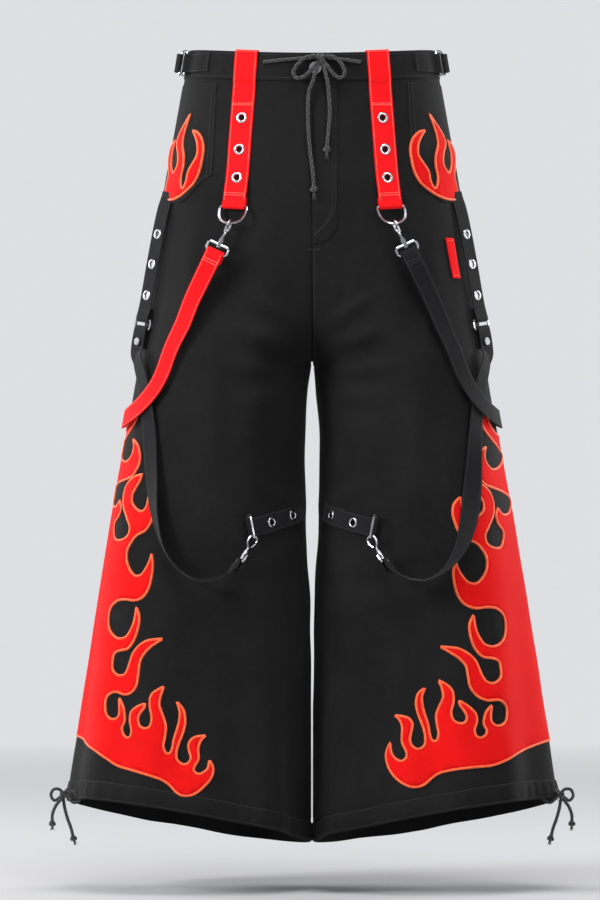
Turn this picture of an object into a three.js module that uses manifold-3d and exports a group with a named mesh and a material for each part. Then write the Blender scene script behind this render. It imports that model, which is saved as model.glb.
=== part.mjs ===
// Wide-leg strap trousers: two flared legs, red belt-loop straps with clipped hanging straps,
// side strips, knee tabs, flame panels at the outer legs and cords at the waist and hems.
// Millimetres, +Z up. The front faces -Y, so the wearer's left side is at +X.
// The origin is the middle of the waist opening, level with the waistband's top edge at the sides.
// A "drop" is a distance straight down from the origin. Angles run round a leg in degrees:
// 0 at the inseam, 90 at the front, 180 at the outer side and 270 at the back.
import * as THREE from 'three';
import { mergeVertices } from 'three/addons/utils/BufferGeometryUtils.js';
import Module from 'manifold-3d';

const wasm = await Module();
wasm.setup();

// ---- Driving dimensions -------------------------------------------------------------------

const WAIST_WIDTH = 326;
const WAIST_DEPTH = 210;
const HIP_WIDTH = 398;
const HIP_DROP = 200;
const RISE = 419;
const CROTCH_WIDTH = 462;
const KNEE_DROP = 642;
const KNEE_WIDTH = 542;
const HEM_DROP = 1026;
const HEM_WIDTH = 662;

const FRONT_DIP = 9;
const WAISTBAND_HEIGHT = 38;
const WAISTBAND_RAISE = 1.2;
const CLOTH = 1.6;
const HEM_BAND_HEIGHT = 26;
const HEM_BAND_WALL = 2.6;
const HEM_SLOPE_IN = 28;
const HEM_SLOPE_BACK = 18;
const PATCH_CLOTH = 1.2;

const GAP = 0.3;
const SEAM_GAP = 0.6;
const FACET_SAG = 1.3;

const BELT_STRAP_WIDTH = 32;
const WEBBING = 25;
const STRAP_CLOTH = 1.6;
const BELT_STRAP_TOP_X = 85;
const BELT_STRAP_END_X = 101;
const BELT_STRAP_END_DROP = 212;

const WIRE = 1.75;
const D_RING_HEIGHT = 26;
const D_RING_TILT = 24;
const RING_SIDE_PLAY = 1.2;
const SIDE_RING_HEIGHT = 12;
const KNEE_RING_HEIGHT = 13;

const HOOK_WIRE = 1.6;
const HOOK_BEND = 5.6;
const HOOK_THROAT = 9;
const HOOK_LENGTH = 31;
const SWIVEL_HEAD = 2.9;
const LOOP_HEIGHT = 11;

const CORD = 4.4;
const CORD_SIDES = 8;

// ---- Colours ------------------------------------------------------------------------------

const BLACK_CLOTH = { color: 0x17171a, roughness: 0.9, metalness: 0 };
const RED_CLOTH = { color: 0xd8101c, roughness: 0.85, metalness: 0 };
const CORD_COTTON = { color: 0x2b2b2e, roughness: 0.95, metalness: 0 };
const NICKEL = { color: 0xc9cacd, roughness: 0.25, metalness: 1 };

// ---- Shape of the trousers ----------------------------------------------------------------

/** A smooth curve through [drop, value] stations that never overshoots them. */
function profile(stations) {
  const x = stations.map((s) => s[0]);
  const y = stations.map((s) => s[1]);
  const slope = x.slice(1).map((_, i) => (y[i + 1] - y[i]) / (x[i + 1] - x[i]));
  const tangent = y.map((_, i) => {
    if (i === 0) return slope[0];
    if (i === y.length - 1) return slope[i - 1];
    if (slope[i - 1] * slope[i] <= 0) return 0;
    return 2 / (1 / slope[i - 1] + 1 / slope[i]);
  });
  return (drop) => {
    let i = 0;
    while (i < x.length - 2 && drop > x[i + 1]) i += 1;
    const h = x[i + 1] - x[i];
    const t = THREE.MathUtils.clamp((drop - x[i]) / h, -0.5, 1.2);
    const t2 = t * t;
    const t3 = t2 * t;
    return (
      y[i] * (2 * t3 - 3 * t2 + 1) +
      tangent[i] * h * (t3 - 2 * t2 + t) +
      y[i + 1] * (3 * t2 - 2 * t3) +
      tangent[i + 1] * h * (t3 - t2)
    );
  };
}

const mix = THREE.MathUtils.lerp;
const LEG_SPLIT = SEAM_GAP / 2 + 0.1;
const SEAT_DROP = mix(HIP_DROP, RISE, 0.36);
const FORK_DROP = mix(HIP_DROP, RISE, 0.76);
const THIGH_DROP = mix(RISE, KNEE_DROP, 0.5);
const CALF_DROP = mix(KNEE_DROP, HEM_DROP, 0.25);
const ANKLE_DROP = mix(KNEE_DROP, HEM_DROP, 0.7);

/** Outer side of the legs, measured from the middle. */
const outerAt = profile([
  [0, WAIST_WIDTH / 2],
  [HIP_DROP / 2, mix(WAIST_WIDTH, HIP_WIDTH, 0.5) / 2],
  [HIP_DROP, HIP_WIDTH / 2],
  [RISE, CROTCH_WIDTH / 2],
  [KNEE_DROP, KNEE_WIDTH / 2],
  [HEM_DROP, HEM_WIDTH / 2],
]);

/** Inner side of a leg. Above the crotch it lies beyond the middle, where the legs are joined. */
const innerAt = profile([
  [0, -WAIST_WIDTH / 2],
  [HIP_DROP / 2, -mix(WAIST_WIDTH, HIP_WIDTH, 0.5) / 2],
  [HIP_DROP, -HIP_WIDTH / 2],
  [SEAT_DROP, -0.72 * (HIP_WIDTH / 2)],
  [FORK_DROP, -0.3 * (HIP_WIDTH / 2)],
  [RISE, LEG_SPLIT],
  [THIGH_DROP, 9],
  [KNEE_DROP, 8],
  [CALF_DROP, 3],
  [ANKLE_DROP, 1.2],
  [HEM_DROP, 1.2],
]);

const frontDepthAt = profile([
  [0, WAIST_DEPTH / 2],
  [HIP_DROP, WAIST_DEPTH / 2 + 23],
  [RISE, WAIST_DEPTH / 2 + 14],
  [KNEE_DROP, WAIST_DEPTH / 2 + 19],
  [HEM_DROP, WAIST_DEPTH / 2 + 42],
]);

const backDepthAt = profile([
  [0, WAIST_DEPTH / 2],
  [HIP_DROP, WAIST_DEPTH / 2 + 30],
  [RISE, WAIST_DEPTH / 2 + 20],
  [KNEE_DROP, WAIST_DEPTH / 2 + 21],
  [HEM_DROP, WAIST_DEPTH / 2 + 44],
]);

const centreAt = (drop) => (drop <= HIP_DROP ? 0 : (outerAt(drop) + innerAt(drop)) / 2);
const halfAt = (drop) => outerAt(drop) - centreAt(drop);
const sin = (degrees) => Math.sin(THREE.MathUtils.degToRad(degrees));
const cos = (degrees) => Math.cos(THREE.MathUtils.degToRad(degrees));
const V = (x, y, z) => new THREE.Vector3(x, y, z);
const smooth = (t) => t * t * (3 - 2 * t);

/** Point of the cloth's outer face. Side is +1 for the wearer's left leg and -1 for the right. */
function cloth(side, angle, drop) {
  const depth = sin(angle) >= 0 ? frontDepthAt(drop) : backDepthAt(drop);
  return V(side * (centreAt(drop) - halfAt(drop) * cos(angle)), -depth * sin(angle), -drop);
}

/** Direction that points out of the cloth at the same place. */
function outward(side, angle, drop) {
  const round = cloth(side, angle + 0.5, drop).sub(cloth(side, angle - 0.5, drop));
  const down = cloth(side, angle, drop + 1).sub(cloth(side, angle, drop - 1));
  return round.cross(down).normalize().multiplyScalar(-side);
}

/** Point a given lift off the cloth. */
function above(side, angle, drop, lift) {
  return cloth(side, angle, drop).addScaledVector(outward(side, angle, drop), lift);
}

/** Angle on the front of a leg at a distance x from the middle of the trousers. */
function frontAngle(x, drop) {
  const share = THREE.MathUtils.clamp((centreAt(drop) - x) / halfAt(drop), -1, 1);
  return THREE.MathUtils.radToDeg(Math.acos(share));
}

const waistTop = (angle) => FRONT_DIP * Math.max(0, sin(angle)) ** 2;
const hemEdge = (angle) => HEM_DROP + HEM_SLOPE_IN * cos(angle) - HEM_SLOPE_BACK * sin(angle);

/** Angle of the middle seam, and of the inseam below the crotch. */
function innerAngle(drop) {
  const seam = THREE.MathUtils.radToDeg(Math.asin(SEAM_GAP / 2 / frontDepthAt(drop)));
  return Math.max(seam, frontAngle(SEAM_GAP / 2, drop));
}

// ---- Solid builders -----------------------------------------------------------------------

/** A closed solid from points and triangles, turned so that its faces point out. */
function closedSolid(points, triangles) {
  const volume = triangles.reduce((sum, [a, b, c]) => {
    return sum + points[a].dot(points[b].clone().cross(points[c]));
  }, 0);
  const index = volume > 0 ? triangles : triangles.map(([a, b, c]) => [a, c, b]);
  const geometry = new THREE.BufferGeometry();
  geometry.setAttribute(
    'position',
    new THREE.Float32BufferAttribute(points.flatMap((p) => p.toArray()), 3),
  );
  geometry.setIndex(index.flat());
  return geometry;
}

/** A sheet of cloth with two faces. At returns its outer and inner point at u and v, 0 to 1. */
function sheet(at, across, along, isRing = false) {
  const columns = isRing ? across : across + 1;
  const points = [];
  for (let j = 0; j <= along; j += 1) {
    for (let i = 0; i < columns; i += 1) {
      points.push(...at(i / across, j / along));
    }
  }
  const id = (i, j, face) => 2 * (j * columns + (i % columns)) + face;
  const triangles = [];
  const quad = (a, b, c, d) => triangles.push([a, b, c], [a, c, d]);
  for (let i = 0; i < across; i += 1) {
    for (let j = 0; j < along; j += 1) {
      quad(id(i, j, 0), id(i + 1, j, 0), id(i + 1, j + 1, 0), id(i, j + 1, 0));
      quad(id(i, j, 1), id(i, j + 1, 1), id(i + 1, j + 1, 1), id(i + 1, j, 1));
    }
    quad(id(i, 0, 0), id(i, 0, 1), id(i + 1, 0, 1), id(i + 1, 0, 0));
    quad(id(i, along, 0), id(i + 1, along, 0), id(i + 1, along, 1), id(i, along, 1));
  }
  for (let j = 0; j < along && !isRing; j += 1) {
    quad(id(0, j, 0), id(0, j + 1, 0), id(0, j + 1, 1), id(0, j, 1));
    quad(id(across, j, 0), id(across, j, 1), id(across, j + 1, 1), id(across, j + 1, 0));
  }
  return closedSolid(points, triangles);
}

/** A strap with a square section that follows points, with its width along widths. */
function strap(points, widths, width, thickness, steps) {
  const path = new THREE.CatmullRomCurve3(points, false, 'centripetal');
  const aim = new THREE.CatmullRomCurve3(widths, false, 'centripetal');
  const ring = [];
  for (let k = 0; k <= steps; k += 1) {
    const t = k / steps;
    const centre = path.getPoint(t);
    const ahead = path.getTangent(t);
    const side = aim.getPoint(t);
    const face = ahead.clone().cross(side).normalize();
    side.copy(face).cross(ahead).normalize();
    for (const [a, b] of [[-1, -1], [1, -1], [1, 1], [-1, 1]]) {
      ring.push(
        centre
          .clone()
          .addScaledVector(side, (a * width) / 2)
          .addScaledVector(face, (b * thickness) / 2),
      );
    }
  }
  const triangles = [[0, 2, 1], [0, 3, 2]];
  for (let k = 0; k < steps; k += 1) {
    for (let i = 0; i < 4; i += 1) {
      const a = 4 * k + i;
      const b = 4 * k + ((i + 1) % 4);
      triangles.push([a, b, b + 4], [a, b + 4, a + 4]);
    }
  }
  const last = 4 * steps;
  triangles.push([last, last + 1, last + 2], [last, last + 2, last + 3]);
  return closedSolid(ring, triangles);
}

/** Points and widths of a strap that lies on a leg, from [angle, drop, lift, twist] stations. */
function onLeg(side, stations) {
  const points = stations.map(([angle, drop, lift]) => above(side, angle, drop, lift));
  const route = new THREE.CatmullRomCurve3(points, false, 'centripetal');
  const widths = stations.map(([angle, drop, , twist = 0], k) => {
    const ahead = route.getTangent(k / (stations.length - 1));
    const normal = outward(side, angle, drop);
    const flat = normal.clone().cross(ahead).normalize();
    return flat.multiplyScalar(cos(twist)).addScaledVector(normal, sin(twist));
  });
  return { points, widths };
}

const FOLD_PLAY = 0.5;
const FOLD_RADIUS = WIRE + FOLD_PLAY + STRAP_CLOTH / 2;
const FOLD_TURN = [0, 45, 90, 135, 180];

/** Points round a bar: from the face side, past the end that ahead points to, to the back. */
function foldPoints(bar, ahead, face, tail) {
  const turn = FOLD_TURN.map((a) =>
    bar
      .clone()
      .addScaledVector(face, FOLD_RADIUS * cos(a))
      .addScaledVector(ahead, FOLD_RADIUS * sin(a)),
  );
  return [...turn, turn[turn.length - 1].clone().addScaledVector(ahead, -tail)];
}

const polygon = (radius, sides) =>
  new THREE.Shape(
    Array.from({ length: sides }, (_, i) => {
      const a = (2 * Math.PI * i) / sides;
      return new THREE.Vector2(radius * Math.cos(a), radius * Math.sin(a));
    }),
  );

/** A tube with flat ends along a smooth curve through points. */
function tube(points, radius, steps, sides = CORD_SIDES) {
  const path = new THREE.CatmullRomCurve3(points, false, 'centripetal');
  return new THREE.ExtrudeGeometry(polygon(radius, sides), {
    steps,
    bevelEnabled: false,
    extrudePath: path,
  });
}

/** A closed wire ring through corner points. */
function wireRing(points, radius, steps = 24, sides = 6) {
  const path = new THREE.CatmullRomCurve3(points, true, 'centripetal');
  return new THREE.TubeGeometry(path, steps, radius, sides, true);
}

/** Corner points of a rounded wire rectangle that hangs from a bar at the local origin. */
function rectanglePoints(width, height) {
  const w = width / 2;
  const r = 2.4;
  const corner = (x, z, sx, sz) => [
    V(x - sx * r, 0, z),
    V(x - sx * r * 0.3, 0, z - sz * r * 0.3),
    V(x, 0, z - sz * r),
  ];
  return [
    V(0, 0, 0),
    ...corner(w, 0, 1, 1),
    V(w, 0, -height / 2),
    ...corner(w, -height, 1, -1).reverse(),
    V(0, 0, -height),
    ...corner(-w, -height, -1, -1),
    V(-w, 0, -height / 2),
    ...corner(-w, 0, -1, 1).reverse(),
  ];
}

/** Corner points of a D that hangs from its straight bar at the local origin. */
function dRingPoints(width, height) {
  const w = width / 2;
  const round = [35, 60, 90, 120, 145].map((a) => {
    return V(w * cos(a), 0, -height + w * 0.82 * (1 - sin(a)));
  });
  return [
    V(0, 0, 0),
    V(w - 2.5, 0, 0),
    V(w - 0.6, 0, -0.7),
    V(w, 0, -3),
    V(w, 0, -8),
    ...round,
    V(-w, 0, -8),
    V(-w, 0, -3),
    V(-w + 0.6, 0, -0.7),
    V(-w + 2.5, 0, 0),
  ];
}

function toManifold(geometry) {
  const bare = geometry.clone();
  bare.deleteAttribute('normal');
  bare.deleteAttribute('uv');
  const merged = mergeVertices(bare, 1e-4);
  return new wasm.Manifold(
    new wasm.Mesh({
      numProp: 3,
      vertProperties: new Float32Array(merged.attributes.position.array),
      triVerts: new Uint32Array(merged.index.array),
    }),
  );
}

function fromManifold(solid) {
  const mesh = solid.getMesh();
  const geometry = new THREE.BufferGeometry();
  geometry.setAttribute('position', new THREE.BufferAttribute(mesh.vertProperties, 3));
  geometry.setIndex(new THREE.BufferAttribute(mesh.triVerts, 1));
  return geometry;
}

const join = (...parts) => fromManifold(parts.map(toManifold).reduce((a, b) => a.add(b)));
const cut = (part, hole) => fromManifold(toManifold(part).subtract(toManifold(hole)));

/** An upright round pin from a low height to a high one. */
function pin(radius, low, high, sides = 8) {
  const geometry = new THREE.CylinderGeometry(radius, radius, high - low, sides);
  return geometry.rotateX(Math.PI / 2).translate(0, 0, (low + high) / 2);
}

// ---- The model ----------------------------------------------------------------------------

const trousers = new THREE.Group();
const sideName = (side) => (side > 0 ? 'left' : 'right');

/** Adds a named piece, placed by a matrix where one is given. */
function add(name, geometry, finish, place) {
  const bare = geometry.clone();
  bare.deleteAttribute('normal');
  bare.deleteAttribute('uv');
  const whole = mergeVertices(bare, 1e-4);
  whole.computeVertexNormals();
  const mesh = new THREE.Mesh(whole, new THREE.MeshStandardMaterial(finish));
  mesh.name = name;
  if (place) mesh.applyMatrix4(place);
  trousers.add(mesh);
  return mesh;
}

/** Place with local X along across, local Z against ahead and local Y into the cloth. */
function placing(origin, across, ahead) {
  const up = ahead.clone().multiplyScalar(-1).normalize();
  const inward = up.clone().cross(across).normalize();
  const right = inward.clone().cross(up);
  return new THREE.Matrix4().makeBasis(right, inward, up).setPosition(origin);
}

// Waistband: one closed loop that is buttoned at the front.
add(
  'waistband',
  sheet((u, v) => {
    const angle = 360 * u;
    const drop = waistTop(angle) + v * WAISTBAND_HEIGHT;
    return [
      above(1, angle, drop, WAISTBAND_RAISE),
      above(1, angle, drop, -CLOTH),
    ];
  }, 24, 1, true),
  BLACK_CLOTH,
);

const PANEL_COLUMNS = 12;

/** Drops where the cloth changes its slope: the rows of the panels between their two ends. */
const PANEL_ROWS = [
  HIP_DROP / 2,
  HIP_DROP * 0.75,
  HIP_DROP,
  SEAT_DROP,
  FORK_DROP,
  RISE,
  mix(RISE, THIGH_DROP, 0.5),
  THIGH_DROP,
  KNEE_DROP,
  CALF_DROP,
  mix(CALF_DROP, ANKLE_DROP, 0.5),
  ANKLE_DROP,
];

/** Angle and drop at u across and v down a panel that runs from the middle seam to the side. */
function panelSpot(u, v, isBack) {
  const turn = (angle) => (isBack ? 360 - angle : angle);
  const row = Math.round(v * (PANEL_ROWS.length + 1));
  let angle = 90;
  let drop = RISE;
  for (let k = 0; k < 6; k += 1) {
    const top = waistTop(turn(angle)) + WAISTBAND_HEIGHT + GAP;
    const bottom = hemEdge(turn(angle)) - HEM_BAND_HEIGHT - GAP;
    drop = [top, ...PANEL_ROWS, bottom][row];
    angle = mix(innerAngle(drop), 180 - innerAngle(HEM_DROP), u);
  }
  return [turn(angle), drop];
}

for (const side of [1, -1]) {
  for (const isBack of [false, true]) {
    const name = `${isBack ? 'back' : 'front'}_panel_${sideName(side)}`;
    const panel = sheet((u, v) => {
      const [angle, drop] = panelSpot(u, v, isBack);
      return [above(side, angle, drop, 0), above(side, angle, drop, -CLOTH)];
    }, PANEL_COLUMNS, PANEL_ROWS.length + 1);
    add(name, panel, BLACK_CLOTH);
  }
}

// Hem bands: the stitched tunnels that hold the hem cords.
for (const side of [1, -1]) {
  const band = sheet((u, v) => {
    const angle = 360 * u;
    const drop = hemEdge(angle) - (1 - v) * HEM_BAND_HEIGHT;
    return [above(side, angle, drop, 0), above(side, angle, drop, -HEM_BAND_WALL)];
  }, 2 * PANEL_COLUMNS, 1, true);
  add(`hem_band_${sideName(side)}`, band, BLACK_CLOTH);
}

/** A patch sewn on the cloth between two angles and two drops, which may be functions. */
function patch(side, spot, across, along, lift = GAP + FACET_SAG, thickness = PATCH_CLOTH) {
  return sheet((u, v) => {
    const [angle, drop] = spot(u, v);
    return [above(side, angle, drop, lift + thickness), above(side, angle, drop, lift)];
  }, across, along);
}

// Flame panels: red cloth on the outer side of each leg, wider towards the hem.
const FLAME_TOP_DROP = 505;
const FLAME_BOTTOM_DROP = 962;
const FLAME_BOTTOM_REACH = 108;
const FLAME_TOP_REACH = 30;
for (const side of [1, -1]) {
  const panel = patch(side, (u, v) => {
    const reach = mix(FLAME_TOP_REACH, FLAME_BOTTOM_REACH, v ** 1.3);
    const angle = 180 + mix(-reach, reach, u);
    const sag = 30 * (1 - Math.abs(2 * u - 1));
    return [angle, mix(FLAME_TOP_DROP, FLAME_BOTTOM_DROP - sag, v)];
  }, 16, 9, GAP + 1.6 * FACET_SAG);
  add(`flame_panel_${sideName(side)}`, panel, RED_CLOTH);
}

// Front pockets: rounded patches from the waistband to the side seam.
const POCKET_SEAM_X = 125;
const POCKET_BOTTOM_DROP = 196;
for (const side of [1, -1]) {
  const pocket = patch(side, (u, v) => {
    const round = 26 * (1 - smooth(Math.min(1, u / 0.45)));
    const top = waistTop(110) + WAISTBAND_HEIGHT + 2 * GAP;
    const drop = mix(top, POCKET_BOTTOM_DROP - round, v);
    return [mix(frontAngle(POCKET_SEAM_X + 6 * v, drop), 177, u), drop];
  }, 7, 4, GAP + FACET_SAG / 2);
  add(`front_pocket_${sideName(side)}`, pocket, BLACK_CLOTH);
}

// Back pockets: square patches on the seat.
for (const side of [1, -1]) {
  const pocket = patch(side, (u, v) => {
    const point = 10 * (1 - Math.abs(2 * u - 1)) * v;
    const drop = mix(110, 250, v) + point;
    return [360 - frontAngle(mix(48, 168, u), drop), drop];
  }, 5, 4, GAP + 1.3 * FACET_SAG);
  add(`back_pocket_${sideName(side)}`, pocket, BLACK_CLOTH);
}

// Fly: the flap over the zip, the zip's tape behind it and the slider in the tape's slot.
const FLY_WIDTH = 34;
const FLY_BOTTOM_DROP = 262;
const FLY_TOP_DROP = WAISTBAND_HEIGHT + FRONT_DIP + 2 * GAP;
add(
  'fly_flap',
  patch(1, (u, v) => {
    const drop = mix(FLY_TOP_DROP, FLY_BOTTOM_DROP - 22 * u * u * u, v);
    return [frontAngle(mix(SEAM_GAP / 2, FLY_WIDTH, u), drop), drop];
  }, 3, 5),
  BLACK_CLOTH,
);

const ZIP_WIDTH = 26;
const ZIP_SLOT = 9;
const SLIDER_SIZE = { width: 8, thickness: 2.4, height: 12, drop: 68 };
const ZIP_TRAVEL = 120;
const zipDepth = (x, drop, lift) => {
  const angle = frontAngle(Math.abs(x), drop);
  return above(x < 0 ? -1 : 1, angle, drop, lift);
};
const zipTape = sheet((u, v) => {
  const x = mix(-ZIP_WIDTH / 2, ZIP_WIDTH / 2, u);
  const drop = mix(FLY_TOP_DROP, FLY_BOTTOM_DROP - 30, v);
  const lift = -CLOTH - FACET_SAG * 0.8 - GAP;
  return [zipDepth(x, drop, lift), zipDepth(x, drop, lift - 1.2)];
}, 4, 6);
const slotTop = SLIDER_SIZE.drop - SLIDER_SIZE.height;
const slotBottom = SLIDER_SIZE.drop + ZIP_TRAVEL + SLIDER_SIZE.height;
const slot = new THREE.BoxGeometry(ZIP_SLOT, 60, slotBottom - slotTop);
slot.translate(0, cloth(1, 90, (slotTop + slotBottom) / 2).y, -(slotTop + slotBottom) / 2);
add('zip_tape', cut(zipTape, slot), BLACK_CLOTH);

const sliderSpot = zipDepth(0, SLIDER_SIZE.drop, -CLOTH - FACET_SAG * 0.8 - 3 * GAP - SLIDER_SIZE.thickness / 2);
const sliderDown = cloth(1, 90, SLIDER_SIZE.drop + ZIP_TRAVEL).sub(cloth(1, 90, SLIDER_SIZE.drop));
add(
  'zip_slider',
  new THREE.BoxGeometry(SLIDER_SIZE.width, SLIDER_SIZE.thickness, SLIDER_SIZE.height),
  NICKEL,
  placing(sliderSpot, V(1, 0, 0), sliderDown.normalize()),
);

// Waist button: a flat-headed tack button at the front of the waistband.
const BUTTON = { x: 4, drop: 30, radius: 8, height: 3 };
const buttonAngle = frontAngle(BUTTON.x, BUTTON.drop);
const buttonDown = cloth(1, 90, BUTTON.drop + 10).sub(cloth(1, 90, BUTTON.drop)).normalize();
const buttonPlace = (lift) => {
  return placing(above(1, buttonAngle, BUTTON.drop, lift), V(1, 0, 0), buttonDown);
};
const buttonHead = new THREE.CylinderGeometry(BUTTON.radius, BUTTON.radius, BUTTON.height, 24);
add('waist_button', buttonHead, NICKEL, buttonPlace(WAISTBAND_RAISE + GAP + BUTTON.height / 2));

// ---- Clips: a snap hook with a sprung gate and a swivel loop for the webbing ----------------

const RING_INSIDE = WEBBING + 2 * RING_SIDE_PLAY;
const LOOP_WIDTH = RING_INSIDE + 2 * WIRE;

/** Local places on a clip, whose origin is the middle of the ring wire that it hangs on. */
const HOOK_TOP = WIRE + FOLD_PLAY + HOOK_WIRE;
const BEND_CENTRE = HOOK_TOP - HOOK_BEND;
const THROAT_END = BEND_CENTRE - HOOK_THROAT;
const SWIVEL_TOP = -HOOK_LENGTH + 7;
const LOOP_BAR = -HOOK_LENGTH - LOOP_HEIGHT;

function hookBody() {
  const bend = [0, 45, 90, 135, 180].map((a) => {
    return V(0, HOOK_BEND * cos(a), BEND_CENTRE + HOOK_BEND * sin(a));
  });
  const wire = tube([
    V(0, 0, THROAT_END - 7),
    V(0, 1.2, THROAT_END - 3.5),
    V(0, HOOK_BEND - 0.8, THROAT_END + 0.5),
    ...bend,
    V(0, -HOOK_BEND, BEND_CENTRE - 2),
  ], HOOK_WIRE, 14, 6);
  const shank = pin(HOOK_WIRE, -HOOK_LENGTH - 2.6, THROAT_END - 5);
  const collar = pin(SWIVEL_HEAD, SWIVEL_TOP + GAP, SWIVEL_TOP + GAP + 2.2);
  const head = pin(SWIVEL_HEAD, -HOOK_LENGTH - 4.2, -HOOK_LENGTH - 2.6 + 0.2);
  return join(wire, shank, collar, head);
}

const GATE_PIVOT = V(0, -2.7, THROAT_END - 3);
const GATE_TIP = V(0, -HOOK_BEND, BEND_CENTRE - 2 - GAP - 0.3);

function gate() {
  const length = GATE_TIP.distanceTo(GATE_PIVOT);
  const blade = new THREE.BoxGeometry(2.6, 1.4, length - 1);
  const lean = Math.atan2(GATE_TIP.y - GATE_PIVOT.y, GATE_TIP.z - GATE_PIVOT.z);
  blade.rotateX(-lean);
  const middle = GATE_PIVOT.clone().lerp(GATE_TIP, 0.5);
  return blade.translate(middle.x, middle.y, middle.z);
}

function swivelLoop() {
  const ring = wireRing(rectanglePoints(LOOP_WIDTH, LOOP_HEIGHT), WIRE);
  ring.translate(0, 0, -HOOK_LENGTH);
  const eye = pin(SWIVEL_HEAD + 0.4, -HOOK_LENGTH - 1.9, SWIVEL_TOP);
  const bore = pin(HOOK_WIRE + GAP + 0.05, -HOOK_LENGTH - 9, SWIVEL_TOP + 1);
  return cut(join(ring, eye), bore);
}

/** Adds the three pieces of a clip and returns where its webbing bar lies. */
function addClip(name, side, wireCentre, across, ahead) {
  const place = placing(wireCentre, across, ahead);
  const ending = `${name}_%_${sideName(side)}`;
  add(ending.replace('%', 'hook'), hookBody(), NICKEL, place);
  add(ending.replace('%', 'gate'), gate(), NICKEL, place);
  add(ending.replace('%', 'loop'), swivelLoop(), NICKEL, place);
  return V(0, 0, LOOP_BAR).applyMatrix4(place);
}

/** Down, outward and sideways directions at a spot on the front, with the strap's own slant. */
function spotFrame(side, x, drop, slant) {
  const angle = frontAngle(x, drop);
  const face = outward(side, angle, drop);
  const below = cloth(side, frontAngle(x + slant, drop + 10), drop + 10);
  const ahead = below.sub(cloth(side, angle, drop)).normalize();
  const across = face.clone().cross(ahead).normalize();
  return { angle, face, ahead, across };
}

// ---- Front straps: belt-loop strap, D-ring, clip and hanging strap --------------------------

const BAR_LIFT = GAP + FACET_SAG + STRAP_CLOTH + GAP + WIRE;
const beltStrapX = (drop) => {
  return mix(BELT_STRAP_TOP_X, BELT_STRAP_END_X, drop / BELT_STRAP_END_DROP);
};

/** Hanging strap stations after the clip: angle, drop and lift, round the side to the seat. */
const HANGING_ROUTE = [
  [124, 338, 15],
  [125.5, 378, 12],
  [129, 424, 9.5],
  [139, 462, 9],
  [152, 482, 9],
  [172, 492, 8],
  [196, 488, 6],
  [220, 462, 4],
  [234, 416, 3],
  [241, 360, 2],
  [243, 312, 1.4],
];

for (const side of [1, -1]) {
  const frame = spotFrame(side, BELT_STRAP_END_X, BELT_STRAP_END_DROP, 0.8);
  const { face, ahead, across } = frame;
  const bar = above(side, frame.angle, BELT_STRAP_END_DROP, BAR_LIFT);
  const sheetLift = (lift) => GAP + FACET_SAG + STRAP_CLOTH / 2 + lift;
  const topDrop = waistTop(frontAngle(BELT_STRAP_TOP_X, 10)) + 1.5;
  const route = [
    [topDrop, WAISTBAND_RAISE],
    [WAISTBAND_HEIGHT + FRONT_DIP, WAISTBAND_RAISE],
    [WAISTBAND_HEIGHT + FRONT_DIP + 22, 0.4],
    [mix(WAISTBAND_HEIGHT, BELT_STRAP_END_DROP, 0.5), 0.4],
    [BELT_STRAP_END_DROP - 22, STRAP_CLOTH + GAP],
    [BELT_STRAP_END_DROP - 8, STRAP_CLOTH + GAP + WIRE],
  ];
  const points = route.map(([drop, lift]) => {
    return above(side, frontAngle(beltStrapX(drop), drop), drop, sheetLift(lift));
  });
  points.push(...foldPoints(bar, ahead, face, 12));
  const widths = points.map(() => across);
  const body = strap(points, widths, BELT_STRAP_WIDTH, STRAP_CLOTH, 26);
  add(`belt_strap_${sideName(side)}`, body, RED_CLOTH);

  const hang = ahead.clone().multiplyScalar(cos(D_RING_TILT)).addScaledVector(face, sin(D_RING_TILT));
  const ringWidth = BELT_STRAP_WIDTH + 2 * RING_SIDE_PLAY + 2 * WIRE;
  const ring = wireRing(dRingPoints(ringWidth, D_RING_HEIGHT), WIRE);
  add(`front_ring_${sideName(side)}`, ring, NICKEL, placing(bar, across, hang));

  const low = bar.clone().addScaledVector(hang, D_RING_HEIGHT);
  const fall = ahead.clone().multiplyScalar(cos(22)).addScaledVector(V(side, 0, 0), sin(22));
  const turned = face.clone().cross(fall).normalize();
  const loopBar = addClip('front', side, low, turned, fall.normalize());

  const rest = onLeg(side, HANGING_ROUTE);
  const front = foldPoints(loopBar, fall.clone().negate(), face, 0).slice(0, 5).reverse();
  const start = front[front.length - 1];
  const tail = front[0].clone().addScaledVector(fall, 14);
  const lead = start.clone().addScaledVector(fall, 16);
  const strapPoints = [tail, ...front, lead, ...rest.points];
  const flip = rest.widths[0].dot(turned) < 0 ? -1 : 1;
  const strapWidths = [
    ...Array(front.length + 2).fill(turned),
    ...rest.widths.map((w) => w.clone().multiplyScalar(flip)),
  ];
  const hanging = strap(strapPoints, strapWidths, WEBBING, STRAP_CLOTH, 56);
  const finish = side > 0 ? BLACK_CLOTH : RED_CLOTH;
  add(`hanging_strap_${sideName(side)}`, hanging, finish);
}

// ---- Side strips, side rings, studs and side straps ----------------------------------------

const SIDE_ANGLE = 163;
const SIDE_STRIP_TOP = 203;
const SIDE_RING_DROP = 360;
const SIDE_TWIST = 20;
const SIDE_LIFT = 8;
const STUD = { radius: 5.2, height: 2, below: 18 };

/** The knee tab runs from the inseam out to the bar of its ring. */
const KNEE_TAB = { x: 15, drop: KNEE_DROP - 29, steps: 6 };
const KNEE_BAR = { x: 84, drop: KNEE_DROP - 9 };
const KNEE_RING_STAND = 70;

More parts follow.
